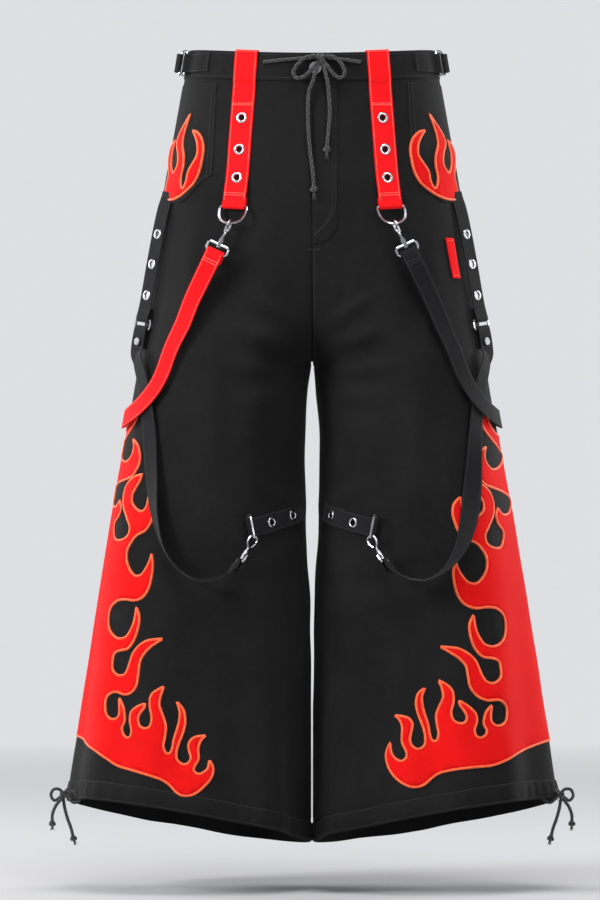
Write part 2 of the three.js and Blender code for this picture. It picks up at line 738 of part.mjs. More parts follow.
for (const side of [1, -1]) {
  const angle = SIDE_ANGLE;
  const normal = outward(side, angle, SIDE_RING_DROP);
  const ahead = cloth(side, angle, SIDE_RING_DROP + 10)
    .sub(cloth(side, angle, SIDE_RING_DROP - 10))
    .normalize();
  const frontward = normal.clone().cross(ahead).normalize().multiplyScalar(-side);
  const face = normal.clone().multiplyScalar(cos(SIDE_TWIST));
  face.addScaledVector(frontward, sin(SIDE_TWIST));
  const across = face.clone().cross(ahead).normalize();

  const bar = above(side, angle, SIDE_RING_DROP, SIDE_LIFT);
  const stripPoints = [0, 0.5, 0.9].map((t) => {
    const drop = mix(SIDE_STRIP_TOP, SIDE_RING_DROP, t);
    return above(side, angle, drop, mix(SIDE_LIFT - 1.5, SIDE_LIFT + 1.5, t));
  });
  stripPoints.push(...foldPoints(bar, ahead, face, 16));
  const strip = strap(stripPoints, stripPoints.map(() => across), WEBBING, STRAP_CLOTH, 20);
  add(`side_strip_${sideName(side)}`, strip, BLACK_CLOTH);

  const ring = wireRing(rectanglePoints(LOOP_WIDTH, SIDE_RING_HEIGHT), WIRE);
  add(`side_ring_${sideName(side)}`, ring, NICKEL, placing(bar, across, ahead));

  // Knee tab, its ring and its clip.
  const tabStart = frontAngle(KNEE_TAB.x, KNEE_TAB.drop);
  const tabEnd = frontAngle(KNEE_BAR.x, KNEE_BAR.drop) - 3;
  const tabPoints = Array.from({ length: KNEE_TAB.steps + 1 }, (_, k) => {
    const t = k / KNEE_TAB.steps;
    const rise = (STRAP_CLOTH + 2 * GAP) * smooth(t);
    const lift = GAP + FACET_SAG + STRAP_CLOTH / 2 + rise;
    return above(side, mix(tabStart, tabEnd, t), mix(KNEE_TAB.drop, KNEE_BAR.drop, t), lift);
  });
  const knee = spotFrame(side, KNEE_BAR.x, KNEE_BAR.drop, 0);
  const tabAhead = tabPoints[KNEE_TAB.steps].clone().sub(tabPoints[KNEE_TAB.steps - 2]).normalize();
  const kneeBar = above(side, knee.angle, KNEE_BAR.drop, BAR_LIFT + 2 * GAP);
  const kneeAcross = knee.face.clone().cross(tabAhead).normalize();
  const kneeFace = tabAhead.clone().cross(kneeAcross).normalize();
  tabPoints.push(...foldPoints(kneeBar, tabAhead, kneeFace, 9));
  const tab = strap(tabPoints, tabPoints.map(() => kneeAcross), WEBBING, STRAP_CLOTH, 20);
  add(`knee_tab_${sideName(side)}`, tab, BLACK_CLOTH);

  const stand = tabAhead
    .clone()
    .multiplyScalar(cos(KNEE_RING_STAND))
    .addScaledVector(kneeFace, sin(KNEE_RING_STAND));
  const kneeRing = wireRing(rectanglePoints(LOOP_WIDTH, KNEE_RING_HEIGHT), WIRE);
  add(`knee_ring_${sideName(side)}`, kneeRing, NICKEL, placing(kneeBar, kneeAcross, stand));

  // The clip hangs on the low corner of the knee ring, with its loop edge on to the front.
  const kneeDown = V(0, 0, -1).projectOnVector(kneeAcross).normalize();
  const kneeHang = kneeBar
    .clone()
    .addScaledVector(stand, KNEE_RING_HEIGHT - 3.4)
    .addScaledVector(kneeDown, LOOP_WIDTH / 2);
  const kneeFall = V(side * 0.5, -0.45, -0.8).normalize();
  const kneeTurn = stand.clone().projectOnPlane(kneeFall).normalize().multiplyScalar(side);
  const kneeLoopBar = addClip('knee', side, kneeHang, kneeTurn, kneeFall);

  // Side strap: from the side ring down to its low bend and up to the knee clip.
  const lowBar = bar.clone().addScaledVector(ahead, SIDE_RING_HEIGHT);
  const top = foldPoints(lowBar, ahead.clone().negate(), face, 0).slice(0, 5).reverse();
  const topTail = top[0].clone().addScaledVector(ahead, 26);
  const topLead = top[4].clone().addScaledVector(ahead, 30);
  const middle = onLeg(side, [
    [146, 428, 5.5, 0],
    [138, 462, 4, 0],
    [131, 500, 4, 0],
    [124, 560, 6, 15],
    [118, 622, 10, 45],
    [110, 672, 15, 75],
    [98, 703, 19, 85],
    [86, 712, 24, 85],
  ]);
  const kneeFold = foldPoints(
    kneeLoopBar,
    kneeFall.clone().negate(),
    kneeTurn.clone().cross(kneeFall),
    0,
  ).slice(0, 5);
  const kneeLead = kneeFold[0].clone().addScaledVector(kneeFall, 14);
  const kneeTail = kneeFold[4].clone().addScaledVector(kneeFall, 12);
  const sign = (w, reference) => (w.dot(reference) < 0 ? w.clone().negate() : w.clone());
  const middleWidths = [];
  let last = across;
  for (const w of middle.widths) {
    last = sign(w, last);
    middleWidths.push(last);
  }
  const endWidth = sign(kneeTurn, last);
  const sideStrap = strap(
    [topTail, ...top, topLead, ...middle.points, kneeLead, ...kneeFold, kneeTail],
    [...Array(7).fill(across), ...middleWidths, ...Array(7).fill(endWidth)],
    WEBBING,
    STRAP_CLOTH,
    72,
  );
  add(`side_strap_${sideName(side)}`, sideStrap, BLACK_CLOTH);

  const studSpot = top[4].clone().addScaledVector(ahead, STUD.below);
  studSpot.addScaledVector(face, STRAP_CLOTH / 2 + GAP + STUD.height / 2);
  const stud = new THREE.CylinderGeometry(STUD.radius, STUD.radius, STUD.height, 20);
  add(`snap_stud_${sideName(side)}`, stud, NICKEL, placing(studSpot, across, ahead));
}

// ---- Waist tabs and their slide buckles -----------------------------------------------------

const WAIST_TAB = { from: 144, to: 166, drop: 19, width: 26 };
const BUCKLE = { width: 32, length: 15 };
for (const side of [1, -1]) {
  const tabLift = WAISTBAND_RAISE + GAP + STRAP_CLOTH / 2;
  const points = [0, 0.4, 0.8].map((t) => {
    return above(side, mix(WAIST_TAB.from, WAIST_TAB.to, t), WAIST_TAB.drop, tabLift + 1.6 * t);
  });
  const normal = outward(side, WAIST_TAB.to, WAIST_TAB.drop);
  const barLift = WAISTBAND_RAISE + BAR_LIFT;
  const bar = above(side, WAIST_TAB.to, WAIST_TAB.drop, barLift);
  const round = cloth(side, WAIST_TAB.to + 4, WAIST_TAB.drop);
  round.sub(cloth(side, WAIST_TAB.to - 4, WAIST_TAB.drop)).normalize();
  const across = normal.clone().cross(round).normalize();
  points.push(...foldPoints(bar, round, normal, 7));
  const tab = strap(points, points.map(() => across), WAIST_TAB.width, STRAP_CLOTH, 16);
  add(`waist_tab_${sideName(side)}`, tab, BLACK_CLOTH);

  const frame = wireRing(rectanglePoints(BUCKLE.width, BUCKLE.length), WIRE);
  const bridge = pin(1.2, -BUCKLE.width / 2 + 1, BUCKLE.width / 2 - 1, 8);
  bridge.rotateY(Math.PI / 2).translate(0, 0, -BUCKLE.length * 0.55);
  const lean = round.clone().multiplyScalar(cos(8)).addScaledVector(normal, sin(8));
  add(`waist_buckle_${sideName(side)}`, join(frame, bridge), NICKEL, placing(bar, across, lean));
}

// Small red tab sewn in the left side seam.
const redTab = patch(1, (u, v) => [mix(146, 152, u), mix(252, 305, v)], 1, 2, GAP + 0.2, 1.2);
add('red_side_tab', redTab, RED_CLOTH);

// ---- Cords ----------------------------------------------------------------------------------

const waistSpot = (x, drop, lift) => {
  const side = x < 0 ? -1 : 1;
  return above(side, frontAngle(Math.abs(x), drop), drop, lift);
};
const CORD_LIFT = WAISTBAND_RAISE + GAP + CORD / 2;
const KNOT = { x: 11, drop: 17, lift: CORD_LIFT + 5.4, radius: 6.5 };

const WAIST_CORD_ROUTES = {
  right: [[-63, 20], [-52, 19], [-38, 17.5], [-24, 16.5], [-10, 15.5], [3.2, 14.5]],
  left: [[63, 20], [54, 19], [44, 17.5], [34, 16.5], [27, 15.5], [18.6, 14.5]],
};
for (const [name, route] of Object.entries(WAIST_CORD_ROUTES)) {
  const points = route.map(([x, drop], k) => {
    return waistSpot(x, drop + FRONT_DIP * 0.2, CORD_LIFT + 0.2 + k * 0.15);
  });
  add(`waist_cord_${name}`, tube(points, CORD / 2, 7), CORD_COTTON);
}

const knotSpot = waistSpot(KNOT.x, KNOT.drop + 2, KNOT.lift);
const knot = new THREE.SphereGeometry(KNOT.radius, 10, 7);
knot.scale(1, 0.8, 0.9).translate(knotSpot.x, knotSpot.y, knotSpot.z);
const bowLoop = (x, drop, length, width, lean) => {
  const points = [0, 60, 120, 180, 240, 300].map((a) => {
    return V(-length * 0.5 * (1 + cos(a)), 0, width * 0.5 * sin(a));
  });
  const loop = wireRing(points, CORD / 2, 12, 6);
  loop.rotateY(THREE.MathUtils.degToRad(lean));
  const spot = waistSpot(x, drop, KNOT.lift + 0.5);
  return loop.translate(spot.x, spot.y, spot.z);
};
const rightLoop = bowLoop(KNOT.x, KNOT.drop + 3, 34, 15, -38);
const leftLoop = bowLoop(KNOT.x, KNOT.drop + 3, 30, 15, -142);
add('waist_bow', join(knot, rightLoop, leftLoop), CORD_COTTON);

const TAIL_ROUTES = {
  right: [[6, 37], [1, 48], [-4, 62], [-5.5, 97], [-3, 138], [1, 172], [2, 196]],
  left: [[16, 37], [19, 48], [21, 62], [22.5, 90], [21, 112], [19.5, 128], [19, 141]],
};
for (const [name, route] of Object.entries(TAIL_ROUTES)) {
  const points = route.map(([x, drop], k) => {
    const lift = [10.5, 10, 8, 6.2][Math.min(k, 3)];
    return waistSpot(x, drop, lift);
  });
  add(`waist_tail_${name}`, tube(points, CORD / 2, 14), CORD_COTTON);
}

const HEM_CORD_ANGLE = 168;
for (const side of [1, -1]) {
  const drop = hemEdge(HEM_CORD_ANGLE) - HEM_BAND_HEIGHT / 2;
  const start = above(side, HEM_CORD_ANGLE, drop, GAP);
  const route = [
    start,
    start.clone().add(V(side * 5, -2, -2)),
    start.clone().add(V(side * 9, -4, -9)),
    start.clone().add(V(side * 8, -6, -22)),
    start.clone().add(V(side * 4, -7, -38)),
    start.clone().add(V(side * -1, -8, -52)),
    start.clone().add(V(side * -4, -9, -64)),
  ];
  add(`hem_cord_${sideName(side)}`, tube(route, CORD / 2, 9), CORD_COTTON);
}

export default trousers;
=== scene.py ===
"""Looks of the wide-leg strap trousers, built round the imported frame.

Patterns and routes are in millimetres and are turned into metres when a piece is made. A drop is
a distance straight down from the middle of the waist opening. Angles run round a leg in degrees:
0 at the inseam, 90 at the front, 180 at the outer side and 270 at the back.
"""

import logging
import math
from dataclasses import dataclass, field
from enum import Enum
from functools import partial
from typing import Callable, Optional, Sequence

import bpy
import numpy as np
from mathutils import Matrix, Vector
from mathutils.geometry import delaunay_2d_cdt

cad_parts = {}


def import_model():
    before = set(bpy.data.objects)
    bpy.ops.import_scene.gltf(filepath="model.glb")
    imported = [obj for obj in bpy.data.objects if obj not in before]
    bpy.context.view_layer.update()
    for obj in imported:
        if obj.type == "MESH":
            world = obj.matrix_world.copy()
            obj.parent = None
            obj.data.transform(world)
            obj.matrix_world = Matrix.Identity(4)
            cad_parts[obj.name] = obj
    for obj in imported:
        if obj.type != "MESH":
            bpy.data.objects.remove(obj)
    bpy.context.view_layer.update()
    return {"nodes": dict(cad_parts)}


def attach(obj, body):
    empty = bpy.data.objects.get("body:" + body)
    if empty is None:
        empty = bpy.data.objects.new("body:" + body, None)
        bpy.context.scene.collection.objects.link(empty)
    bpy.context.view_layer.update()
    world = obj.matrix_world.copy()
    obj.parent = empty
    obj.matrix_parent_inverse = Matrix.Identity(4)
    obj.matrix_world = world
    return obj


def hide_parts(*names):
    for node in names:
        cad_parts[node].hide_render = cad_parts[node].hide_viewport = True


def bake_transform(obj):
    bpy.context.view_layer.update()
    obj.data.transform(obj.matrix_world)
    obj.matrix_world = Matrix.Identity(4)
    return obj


logging.basicConfig(level=logging.INFO, format="%(levelname)s %(message)s")
LOG = logging.getLogger("trousers")

Array = np.ndarray
MM = 0.001

# ---- Driving dimensions, in millimetres ------------------------------------------------------

WAIST_WIDTH, WAIST_DEPTH = 326, 210
HIP_WIDTH, HIP_DROP = 398, 200
CROTCH_WIDTH, RISE = 462, 419
KNEE_WIDTH, KNEE_DROP = 542, 642
HEM_WIDTH, HEM_DROP = 662, 1026
FRONT_DIP = 9
WAISTBAND_HEIGHT, WAISTBAND_RAISE = 38, 1.2
CLOTH = 1.6
HEM_BAND_HEIGHT, HEM_SLOPE_IN, HEM_SLOPE_BACK = 26, 28, 18
GAP, SEAM_GAP, FACET_SAG = 0.3, 0.6, 1.3
BELT_STRAP_WIDTH, WEBBING, STRAP_CLOTH = 32, 25, 1.6
BELT_STRAP_TOP_X, BELT_STRAP_END_X, BELT_STRAP_END_DROP = 85, 101, 212
WIRE, D_RING_HEIGHT, D_RING_TILT, RING_SIDE_PLAY = 1.75, 26, 24, 1.2
SIDE_RING_HEIGHT, KNEE_RING_HEIGHT = 12, 13
CLIP_LENGTH = 42
CORD = 4.4
FOLD_RADIUS = WIRE + 0.5 + STRAP_CLOTH / 2
BAR_LIFT = GAP + FACET_SAG + STRAP_CLOTH + GAP + WIRE
LOOP_WIDTH = WEBBING + 2 * RING_SIDE_PLAY + 2 * WIRE


class Side(Enum):
    """The wearer's own left and right."""

    LEFT = 1
    RIGHT = -1

    @property
    def word(self) -> str:
        """The side's name, as node and body names end with it."""
        return self.name.lower()


# ---- Small sums ------------------------------------------------------------------------------


def mix(a, b, t):
    """Value a share t of the way from a to b."""
    return a + (b - a) * t


def unit(v) -> Array:
    """Vectors of length one in the same directions."""
    v = np.asarray(v, float)
    return v / np.maximum(np.linalg.norm(v, axis=-1, keepdims=True), 1e-12)


def sind(a):
    """Sine of an angle in degrees."""
    return np.sin(np.radians(a))


def cosd(a):
    """Cosine of an angle in degrees."""
    return np.cos(np.radians(a))


def spline(points, t) -> Array:
    """Points of a smooth open curve through control points, where t runs from 0 to 1."""
    p = np.asarray(points, float)
    n = len(p)
    t = np.clip(np.asarray(t, float), 0, 1)
    p = np.vstack([2 * p[0] - p[1], p, 2 * p[-1] - p[-2]])
    k = np.minimum((t * (n - 1)).astype(int), n - 2)
    w = (t * (n - 1) - k)[:, None]
    a, b, c, d = (p[k + i] for i in range(4))
    step = lambda u, v: np.sqrt(np.linalg.norm(v - u, axis=1))[:, None]
    d1 = step(b, c)
    d1 = np.where(d1 < 1e-4, 1, d1)
    d0 = np.where(step(a, b) < 1e-4, d1, step(a, b))
    d2 = np.where(step(c, d) < 1e-4, d1, step(c, d))
    t1 = ((b - a) / d0 - (c - a) / (d0 + d1) + (c - b) / d1) * d1
    t2 = ((c - b) / d1 - (d - b) / (d1 + d2) + (d - c) / d2) * d1
    return b + w * t1 + w**2 * (3 * (c - b) - 2 * t1 - t2) + w**3 * (2 * (b - c) + t1 + t2)


def arc_of(points: Array) -> Array:
    """Distance along a line of points, from its first."""
    return np.r_[0, np.cumsum(np.linalg.norm(np.diff(points, axis=0), axis=1))]


def sample(s, arc: Array, values: Array) -> Array:
    """Values at distances s along a line whose points lie at the distances arc."""
    return np.stack([np.interp(s, arc, column) for column in values.T], -1)


class Profile:
    """A smooth curve through (drop, value) stations that never overshoots them."""

    def __init__(self, *stations: tuple[float, float]) -> None:
        self.x = np.array([s[0] for s in stations], float)
        self.y = np.array([s[1] for s in stations], float)
        slope = np.diff(self.y) / np.diff(self.x)
        inner = [0 if a * b <= 0 else 2 / (1 / a + 1 / b) for a, b in zip(slope, slope[1:])]
        self.tangent = np.array([slope[0], *inner, slope[-1]])

    def __call__(self, drop):
        drop = np.asarray(drop, float)
        i = np.clip(np.searchsorted(self.x, drop, side="left") - 1, 0, len(self.x) - 2)
        h = self.x[i + 1] - self.x[i]
        t = np.clip((drop - self.x[i]) / h, -0.5, 1.2)
        t2, t3 = t * t, t**3
        start = self.y[i] * (2 * t3 - 3 * t2 + 1) + self.tangent[i] * h * (t3 - 2 * t2 + t)
        end = self.y[i + 1] * (3 * t2 - 2 * t3) + self.tangent[i + 1] * h * (t3 - t2)
        return start + end


# ---- The shape of the cloth ------------------------------------------------------------------


@dataclass(frozen=True)
class Crease:
    """A soft ridge in the cloth, from one (x, drop) to another, seen from its own face."""

    start: tuple[float, float]
    end: tuple[float, float]
    width: float
    height: float
    back: bool = False
    side: Optional[Side] = None


CREASES = (
    # Pulls that fan out from the fork.
    Crease((14, 372), (78, 330), 10, 2.6),
    Crease((12, 398), (104, 372), 12, 3.2),
    Crease((20, 430), (120, 418), 12, 2.6),
    Crease((22, 452), (92, 470), 14, 2.4),
    # Long falls down the thighs.
    Crease((60, 300), (92, 600), 26, 3.4, side=Side.RIGHT),
    Crease((48, 290), (70, 610), 24, 3.8, side=Side.LEFT),
    Crease((150, 240), (176, 470), 20, 2.4),
    Crease((128, 420), (136, 640), 22, 3.0),
    # Breaks above and below the knee.
    Crease((24, 660), (120, 700), 16, 3.4, side=Side.RIGHT),
    Crease((30, 690), (150, 664), 15, 3.0, side=Side.LEFT),
    Crease((40, 735), (170, 720), 20, 2.8),
    Crease((18, 606), (70, 580), 12, 2.2),
    # Flutes that open to the hem.
    Crease((60, 700), (52, 1040), 26, 4.6, side=Side.RIGHT),
    Crease((120, 690), (140, 1040), 30, 4.2, side=Side.RIGHT),
    Crease((196, 720), (228, 1040), 28, 4.4, side=Side.RIGHT),
    Crease((46, 720), (40, 1040), 24, 4.2, side=Side.LEFT),
    Crease((104, 690), (118, 1040), 28, 4.8, side=Side.LEFT),
    Crease((176, 730), (202, 1040), 30, 4.2, side=Side.LEFT),
    Crease((240, 760), (272, 1040), 24, 3.8, side=Side.LEFT),
    # Seat and back of the legs.
    Crease((16, 380), (110, 330), 14, 3.6, True),
    Crease((24, 424), (130, 402), 14, 3.8, True),
    Crease((60, 452), (84, 700), 28, 4.4, True),
    Crease((150, 430), (170, 760), 26, 4.0, True),
    Crease((40, 690), (150, 672), 16, 3.4, True),
    Crease((70, 720), (66, 1040), 30, 6.0, True),
    Crease((160, 740), (186, 1040), 32, 5.6, True),
    Crease((235, 780), (262, 1040), 26, 4.4, True),
)

CALM_SPOTS = ((101, 215, 52), (105, 262, 34), (84, 640, 44), (70, 668, 40), (206, 372, 46), (8, 150, 60))


class ClothShape:
    """The outer face of the cloth, with its folds."""

    seat_drop = mix(HIP_DROP, RISE, 0.36)
    fork_drop = mix(HIP_DROP, RISE, 0.76)
    thigh_drop = mix(RISE, KNEE_DROP, 0.5)
    calf_drop = mix(KNEE_DROP, HEM_DROP, 0.25)
    ankle_drop = mix(KNEE_DROP, HEM_DROP, 0.7)
    outer = Profile(
        (0, WAIST_WIDTH / 2), (HIP_DROP / 2, (WAIST_WIDTH + HIP_WIDTH) / 4), (HIP_DROP, HIP_WIDTH / 2),
        (RISE, CROTCH_WIDTH / 2), (KNEE_DROP, KNEE_WIDTH / 2), (HEM_DROP, HEM_WIDTH / 2),
    )
    inner = Profile(
        (0, -WAIST_WIDTH / 2), (HIP_DROP / 2, -(WAIST_WIDTH + HIP_WIDTH) / 4), (HIP_DROP, -HIP_WIDTH / 2),
        (seat_drop, -0.36 * HIP_WIDTH), (fork_drop, -0.15 * HIP_WIDTH), (RISE, SEAM_GAP / 2 + 0.1),
        (thigh_drop, 9), (KNEE_DROP, 8), (calf_drop, 3), (ankle_drop, 1.2), (HEM_DROP, 1.2),
    )
    front = Profile((0, 105), (HIP_DROP, 128), (RISE, 119), (KNEE_DROP, 124), (HEM_DROP, 147))
    back = Profile((0, 105), (HIP_DROP, 135), (RISE, 125), (KNEE_DROP, 126), (HEM_DROP, 149))

    def centre(self, drop):
        """Middle of a leg at a drop; the middle of the trousers down to the hips."""
        return np.where(np.asarray(drop) <= HIP_DROP, 0, (self.outer(drop) + self.inner(drop)) / 2)

    def half(self, drop):
        """Half the width of a leg at a drop."""
        return self.outer(drop) - self.centre(drop)

    def plain(self, side: int, angle, drop) -> Array:
        """Point of the cloth without its folds."""
        angle, drop = np.broadcast_arrays(np.asarray(angle, float), np.asarray(drop, float))
        depth = np.where(sind(angle) >= 0, self.front(drop), self.back(drop))
        x = side * (self.centre(drop) - self.half(drop) * cosd(angle))
        return np.stack([x, -depth * sind(angle), -drop], axis=-1)

    def outward(self, side: int, angle, drop) -> Array:
        """Direction out of the cloth."""
        angle, drop = np.asarray(angle, float), np.asarray(drop, float)
        turn = self.plain(side, angle + 0.5, drop) - self.plain(side, angle - 0.5, drop)
        down = self.plain(side, angle, drop + 1) - self.plain(side, angle, drop - 1)
        return unit(np.cross(turn, down)) * -side

    def folds(self, side: int, angle, drop) -> Array:
        """How far the cloth stands out of its plain shape, in millimetres."""
        angle, drop = np.broadcast_arrays(np.asarray(angle, float), np.asarray(drop, float))
        x = self.centre(drop) - self.half(drop) * cosd(angle)
        is_back = sind(angle) < 0
        rise = np.zeros(x.shape)
        for c in CREASES:
            if c.side is not None and c.side.value != side:
                continue
            (ax, ad), (bx, bd) = c.start, c.end
            run = np.array([bx - ax, bd - ad], float)
            share = ((x - ax) * run[0] + (drop - ad) * run[1]) / run.dot(run)
            t = np.clip(share, 0, 1)
            away = np.hypot(x - ax - t * run[0], drop - ad - t * run[1])
            taper = np.clip(0.25 + 1.5 * t, 0, 1) * np.clip(0.2 + 2.2 * (1 - t), 0, 1)
            if bd >= HEM_DROP:
                taper = np.clip(0.1 + 1.1 * t, 0, 1)
            bump = np.exp(-((away / c.width) ** 2)) - 0.55 * np.exp(-((away / (2.1 * c.width)) ** 2))
            rise += np.where(is_back == c.back, c.height * taper * bump * 2.3, 0)
        low = np.clip((drop - 430) / 500, 0, 1) ** 1.4
        turn = np.radians(angle)
        rise += low * 4.6 * np.sin(5 * turn + 0.9 * side + drop / 260)
        rise += low * 2.8 * np.sin(8 * turn - 1.7 * side + drop / 190)
        crumple = np.sin(x / 17 + drop / 43 + side) * np.sin(drop / 29 - x / 51)
        crumple += 0.7 * np.sin(x / 9.5 - drop / 31) * np.sin(drop / 21 + x / 37 + 2 * side)
        rise += 0.75 * crumple * np.clip((drop - 60) / 160, 0.25, 1)
        for cx, cd, radius in CALM_SPOTS:
            near = np.exp(-(((x - cx) ** 2 + (drop - cd) ** 2) / radius**2))
            rise = np.where(is_back, rise, rise * (1 - near))
        rise *= np.clip((drop - 46) / 60, 0, 1)
        rise *= 1 - np.exp(-((x / 16) ** 2)) * (drop < RISE)
        rise *= 1 - 0.75 * np.exp(-((sind(angle) / 0.16) ** 2)) * (cosd(angle) < 0)
        inner = np.exp(-((sind(angle) / 0.3) ** 2)) * (cosd(angle) > 0)
        rise *= 1 - inner * np.clip((drop - 780) / 90, 0, 1)
        return np.clip(rise, -9, 8.5) + self.seam_dip(x, angle, drop)

    def seam_dip(self, x, angle, drop) -> Array:
        """Shallow valley that a sewn seam pulls into the cloth."""
        side_arc = sind(angle) * 135
        dip = np.exp(-((side_arc / 2.6) ** 2)) * ((drop > 46) & (drop < HEM_DROP - 20))
        middle = np.exp(-((x / 2.2) ** 2)) * ((drop > 50) & (drop < RISE))
        return -1.0 * dip - 0.9 * middle

    def at(self, side: int, angle, drop, lift=0.0) -> Array:
        """Point a given lift off the folded cloth."""
        lift = np.asarray(lift, float) + self.folds(side, angle, drop)
        return self.plain(side, angle, drop) + self.outward(side, angle, drop) * lift[..., None]

    def above(self, side: int, angle, drop, lift=0.0) -> Array:
        """Point a given lift off the plain cloth, where the metal fittings are."""
        out = self.outward(side, angle, drop)
        return self.plain(side, angle, drop) + out * np.asarray(lift, float)[..., None]

    def front_angle(self, x, drop) -> Array:
        """Angle on the front of a leg at a distance x from the middle of the trousers."""
        return np.degrees(np.arccos(np.clip((self.centre(drop) - x) / self.half(drop), -1, 1)))

    def inner_angle(self, drop) -> Array:
        """Angle of the middle seam, and of the inseam below the crotch."""
        seam = np.degrees(np.arcsin(0.06 / self.front(drop)))
        return np.maximum(seam, self.front_angle(0.06, drop))


SHAPE = ClothShape()


def waist_top(angle):
    """Drop of the waistband's top edge."""
    return FRONT_DIP * np.maximum(0, sind(angle)) ** 2


def hem_edge(angle):
    """Drop of the hem's lower edge."""
    return HEM_DROP + HEM_SLOPE_IN * cosd(angle) - HEM_SLOPE_BACK * sind(angle)


# ---- Finishes --------------------------------------------------------------------------------


class Value:
    """A number in a shader, which ordinary sums can be written with."""

    def __init__(self, graph: "Graph", socket) -> None:
        self.graph, self.socket = graph, socket

    def _sum(self, kind: str, a, b=0.0) -> "Value":
        node = self.graph.node("ShaderNodeMath", {"operation": kind}, {0: a, 1: b})
        return Value(self.graph, node.outputs[0])

    def __add__(self, other):
        return self._sum("ADD", self, other)

    def __mul__(self, other):
        return self._sum("MULTIPLY", self, other)

    def __sub__(self, other):
        return self._sum("SUBTRACT", self, other)

    def __rsub__(self, other):
        return self._sum("SUBTRACT", other, self)

    def __truediv__(self, other):
        return self._sum("DIVIDE", self, other)

    def __rtruediv__(self, other):
        return self._sum("DIVIDE", other, self)

    __radd__, __rmul__ = __add__, __mul__

    def sine(self) -> "Value":
        """Sine of the value, in radians."""
        return self._sum("SINE", self)

    def size(self) -> "Value":
        """The value without its sign."""
        return self._sum("ABSOLUTE", self)

    def larger(self, other) -> "Value":
        """The larger of two values."""
        return self._sum("MAXIMUM", self, other)


def new_node(tree, kind: str, settings: Optional[dict] = None, inputs: Optional[dict] = None):
    """Makes a node in a tree.

    Args:
        tree: The node tree.
        kind: The node's type.
        settings: Its settings, made before its sockets are filled.
        inputs: Sockets by name or number, each a constant, a Value or a socket.

    Returns:
        The new node.
    """
    made = tree.nodes.new(kind)
    for key, value in (settings or {}).items():
        setattr(made, key, value)
    for key, value in (inputs or {}).items():
        if isinstance(value, Value):
            value = value.socket
        if isinstance(value, bpy.types.NodeSocket):
            tree.links.new(value, made.inputs[key])
        else:
            made.inputs[key].default_value = value
    return made


class Graph:
    """A material's node tree."""

    def __init__(self, name: str) -> None:
        self.material = bpy.data.materials.new(name)
        self.material.use_nodes = True
        self.tree = self.material.node_tree
        self.tree.nodes.clear()

    def node(self, kind: str, settings: Optional[dict] = None, inputs: Optional[dict] = None):
        """Makes a node of this tree."""
        return new_node(self.tree, kind, settings, inputs)

    def uv(self) -> tuple[Value, Value]:
        """Distance across and along the piece's own pattern, in metres."""
        place = self.node("ShaderNodeUVMap", {"uv_map": "UVMap"})
        split = self.node("ShaderNodeSeparateXYZ", inputs={0: place.outputs[0]})
        return Value(self, split.outputs[0]), Value(self, split.outputs[1])

    def noise(self, scale: float, detail: float = 3.0) -> Value:
        """Soft random value over the object's own space, about 0 to 1."""
        place = self.node("ShaderNodeTexCoord")
        kind = {"Vector": place.outputs["Object"], "Scale": scale, "Detail": detail}
        return Value(self, self.node("ShaderNodeTexNoise", inputs=kind).outputs[0])

    def ramp(self, value: Value, low: float, high: float) -> Value:
        """The value stretched so that low to high becomes 0 to 1, without going past."""
        span = {"Value": value, "From Min": low, "From Max": high}
        return Value(self, self.node("ShaderNodeMapRange", inputs=span).outputs[0])

    def blend(self, factor: Value, a, b):
        """Colour between a and b."""
        made = self.node("ShaderNodeMix", {"data_type": "RGBA"}, {0: factor, 6: a, 7: b})
        return made.outputs[2]

    def bump(self, height: Value, strength: float, distance: float):
        """Normal of a surface that rises with height."""
        kind = {"Strength": strength, "Distance": distance, "Height": height}
        return self.node("ShaderNodeBump", inputs=kind).outputs[0]

    def finish(self, **inputs) -> bpy.types.Material:
        """Ends the tree in a principled shader.

        Args:
            **inputs: The shader's sockets, with _ for each space in their names.

        Returns:
            The material.
        """
        named = {key.replace("_", " "): value for key, value in inputs.items()}
        shader = self.node("ShaderNodeBsdfPrincipled", inputs=named)
        self.node("ShaderNodeOutputMaterial", inputs={0: shader.outputs[0]})
        return self.material


Colour = tuple[float, float, float, float]


def srgb(r: int, g: int, b: int) -> Colour:
    """Linear colour from the three numbers of a colour chart."""
    return (*(((c / 255 + 0.055) / 1.055) ** 2.4 if c > 10 else c / 255 / 12.92 for c in (r, g, b)), 1.0)


@dataclass(frozen=True)
class Twill:
    """Cotton twill with its slanting ribs, a little lint and uneven fading, and a little painted shade: the
    colour is lighter on the rib ridges and darker in the grooves.
    """

    name: str
    colour: Colour
    faded: Colour
    sheen: float
    rib: float = 0.0016

    def build(self) -> bpy.types.Material:
        """Makes the material."""
        g = Graph(self.name)
        across, along = g.uv()
        turn = 2 * math.pi / self.rib
        rib = ((across + along) * turn).sine() * 0.5 + ((across - along * 2.0) * (turn * 0.5)).sine() * 0.18
        fuzz = g.noise(1400, 2)
        cloud = g.ramp(g.noise(9, 4), 0.35, 0.7)
        # Mostly random fading towards the lighter colour; the rib share is painted shade, darker in the rib
        # grooves and lighter on the ridges.
        tone_and_groove_shade = cloud * 0.55 + g.ramp(g.noise(120, 3), 0.3, 0.75) * 0.3 + g.ramp(rib, -0.7, 0.9) * 0.15
        return g.finish(
            Base_Color=g.blend(tone_and_groove_shade, self.colour, self.faded),
            Roughness=g.ramp(fuzz, -0.6, 1.4) * 0.2 + 0.72,
            Normal=g.bump(rib + fuzz * 0.8 + g.noise(260, 2) * 1.6, 0.35, 0.0005),
            Sheen_Weight=self.sheen,
            Sheen_Roughness=0.4,
            Specular_IOR_Level=0.16,
        )


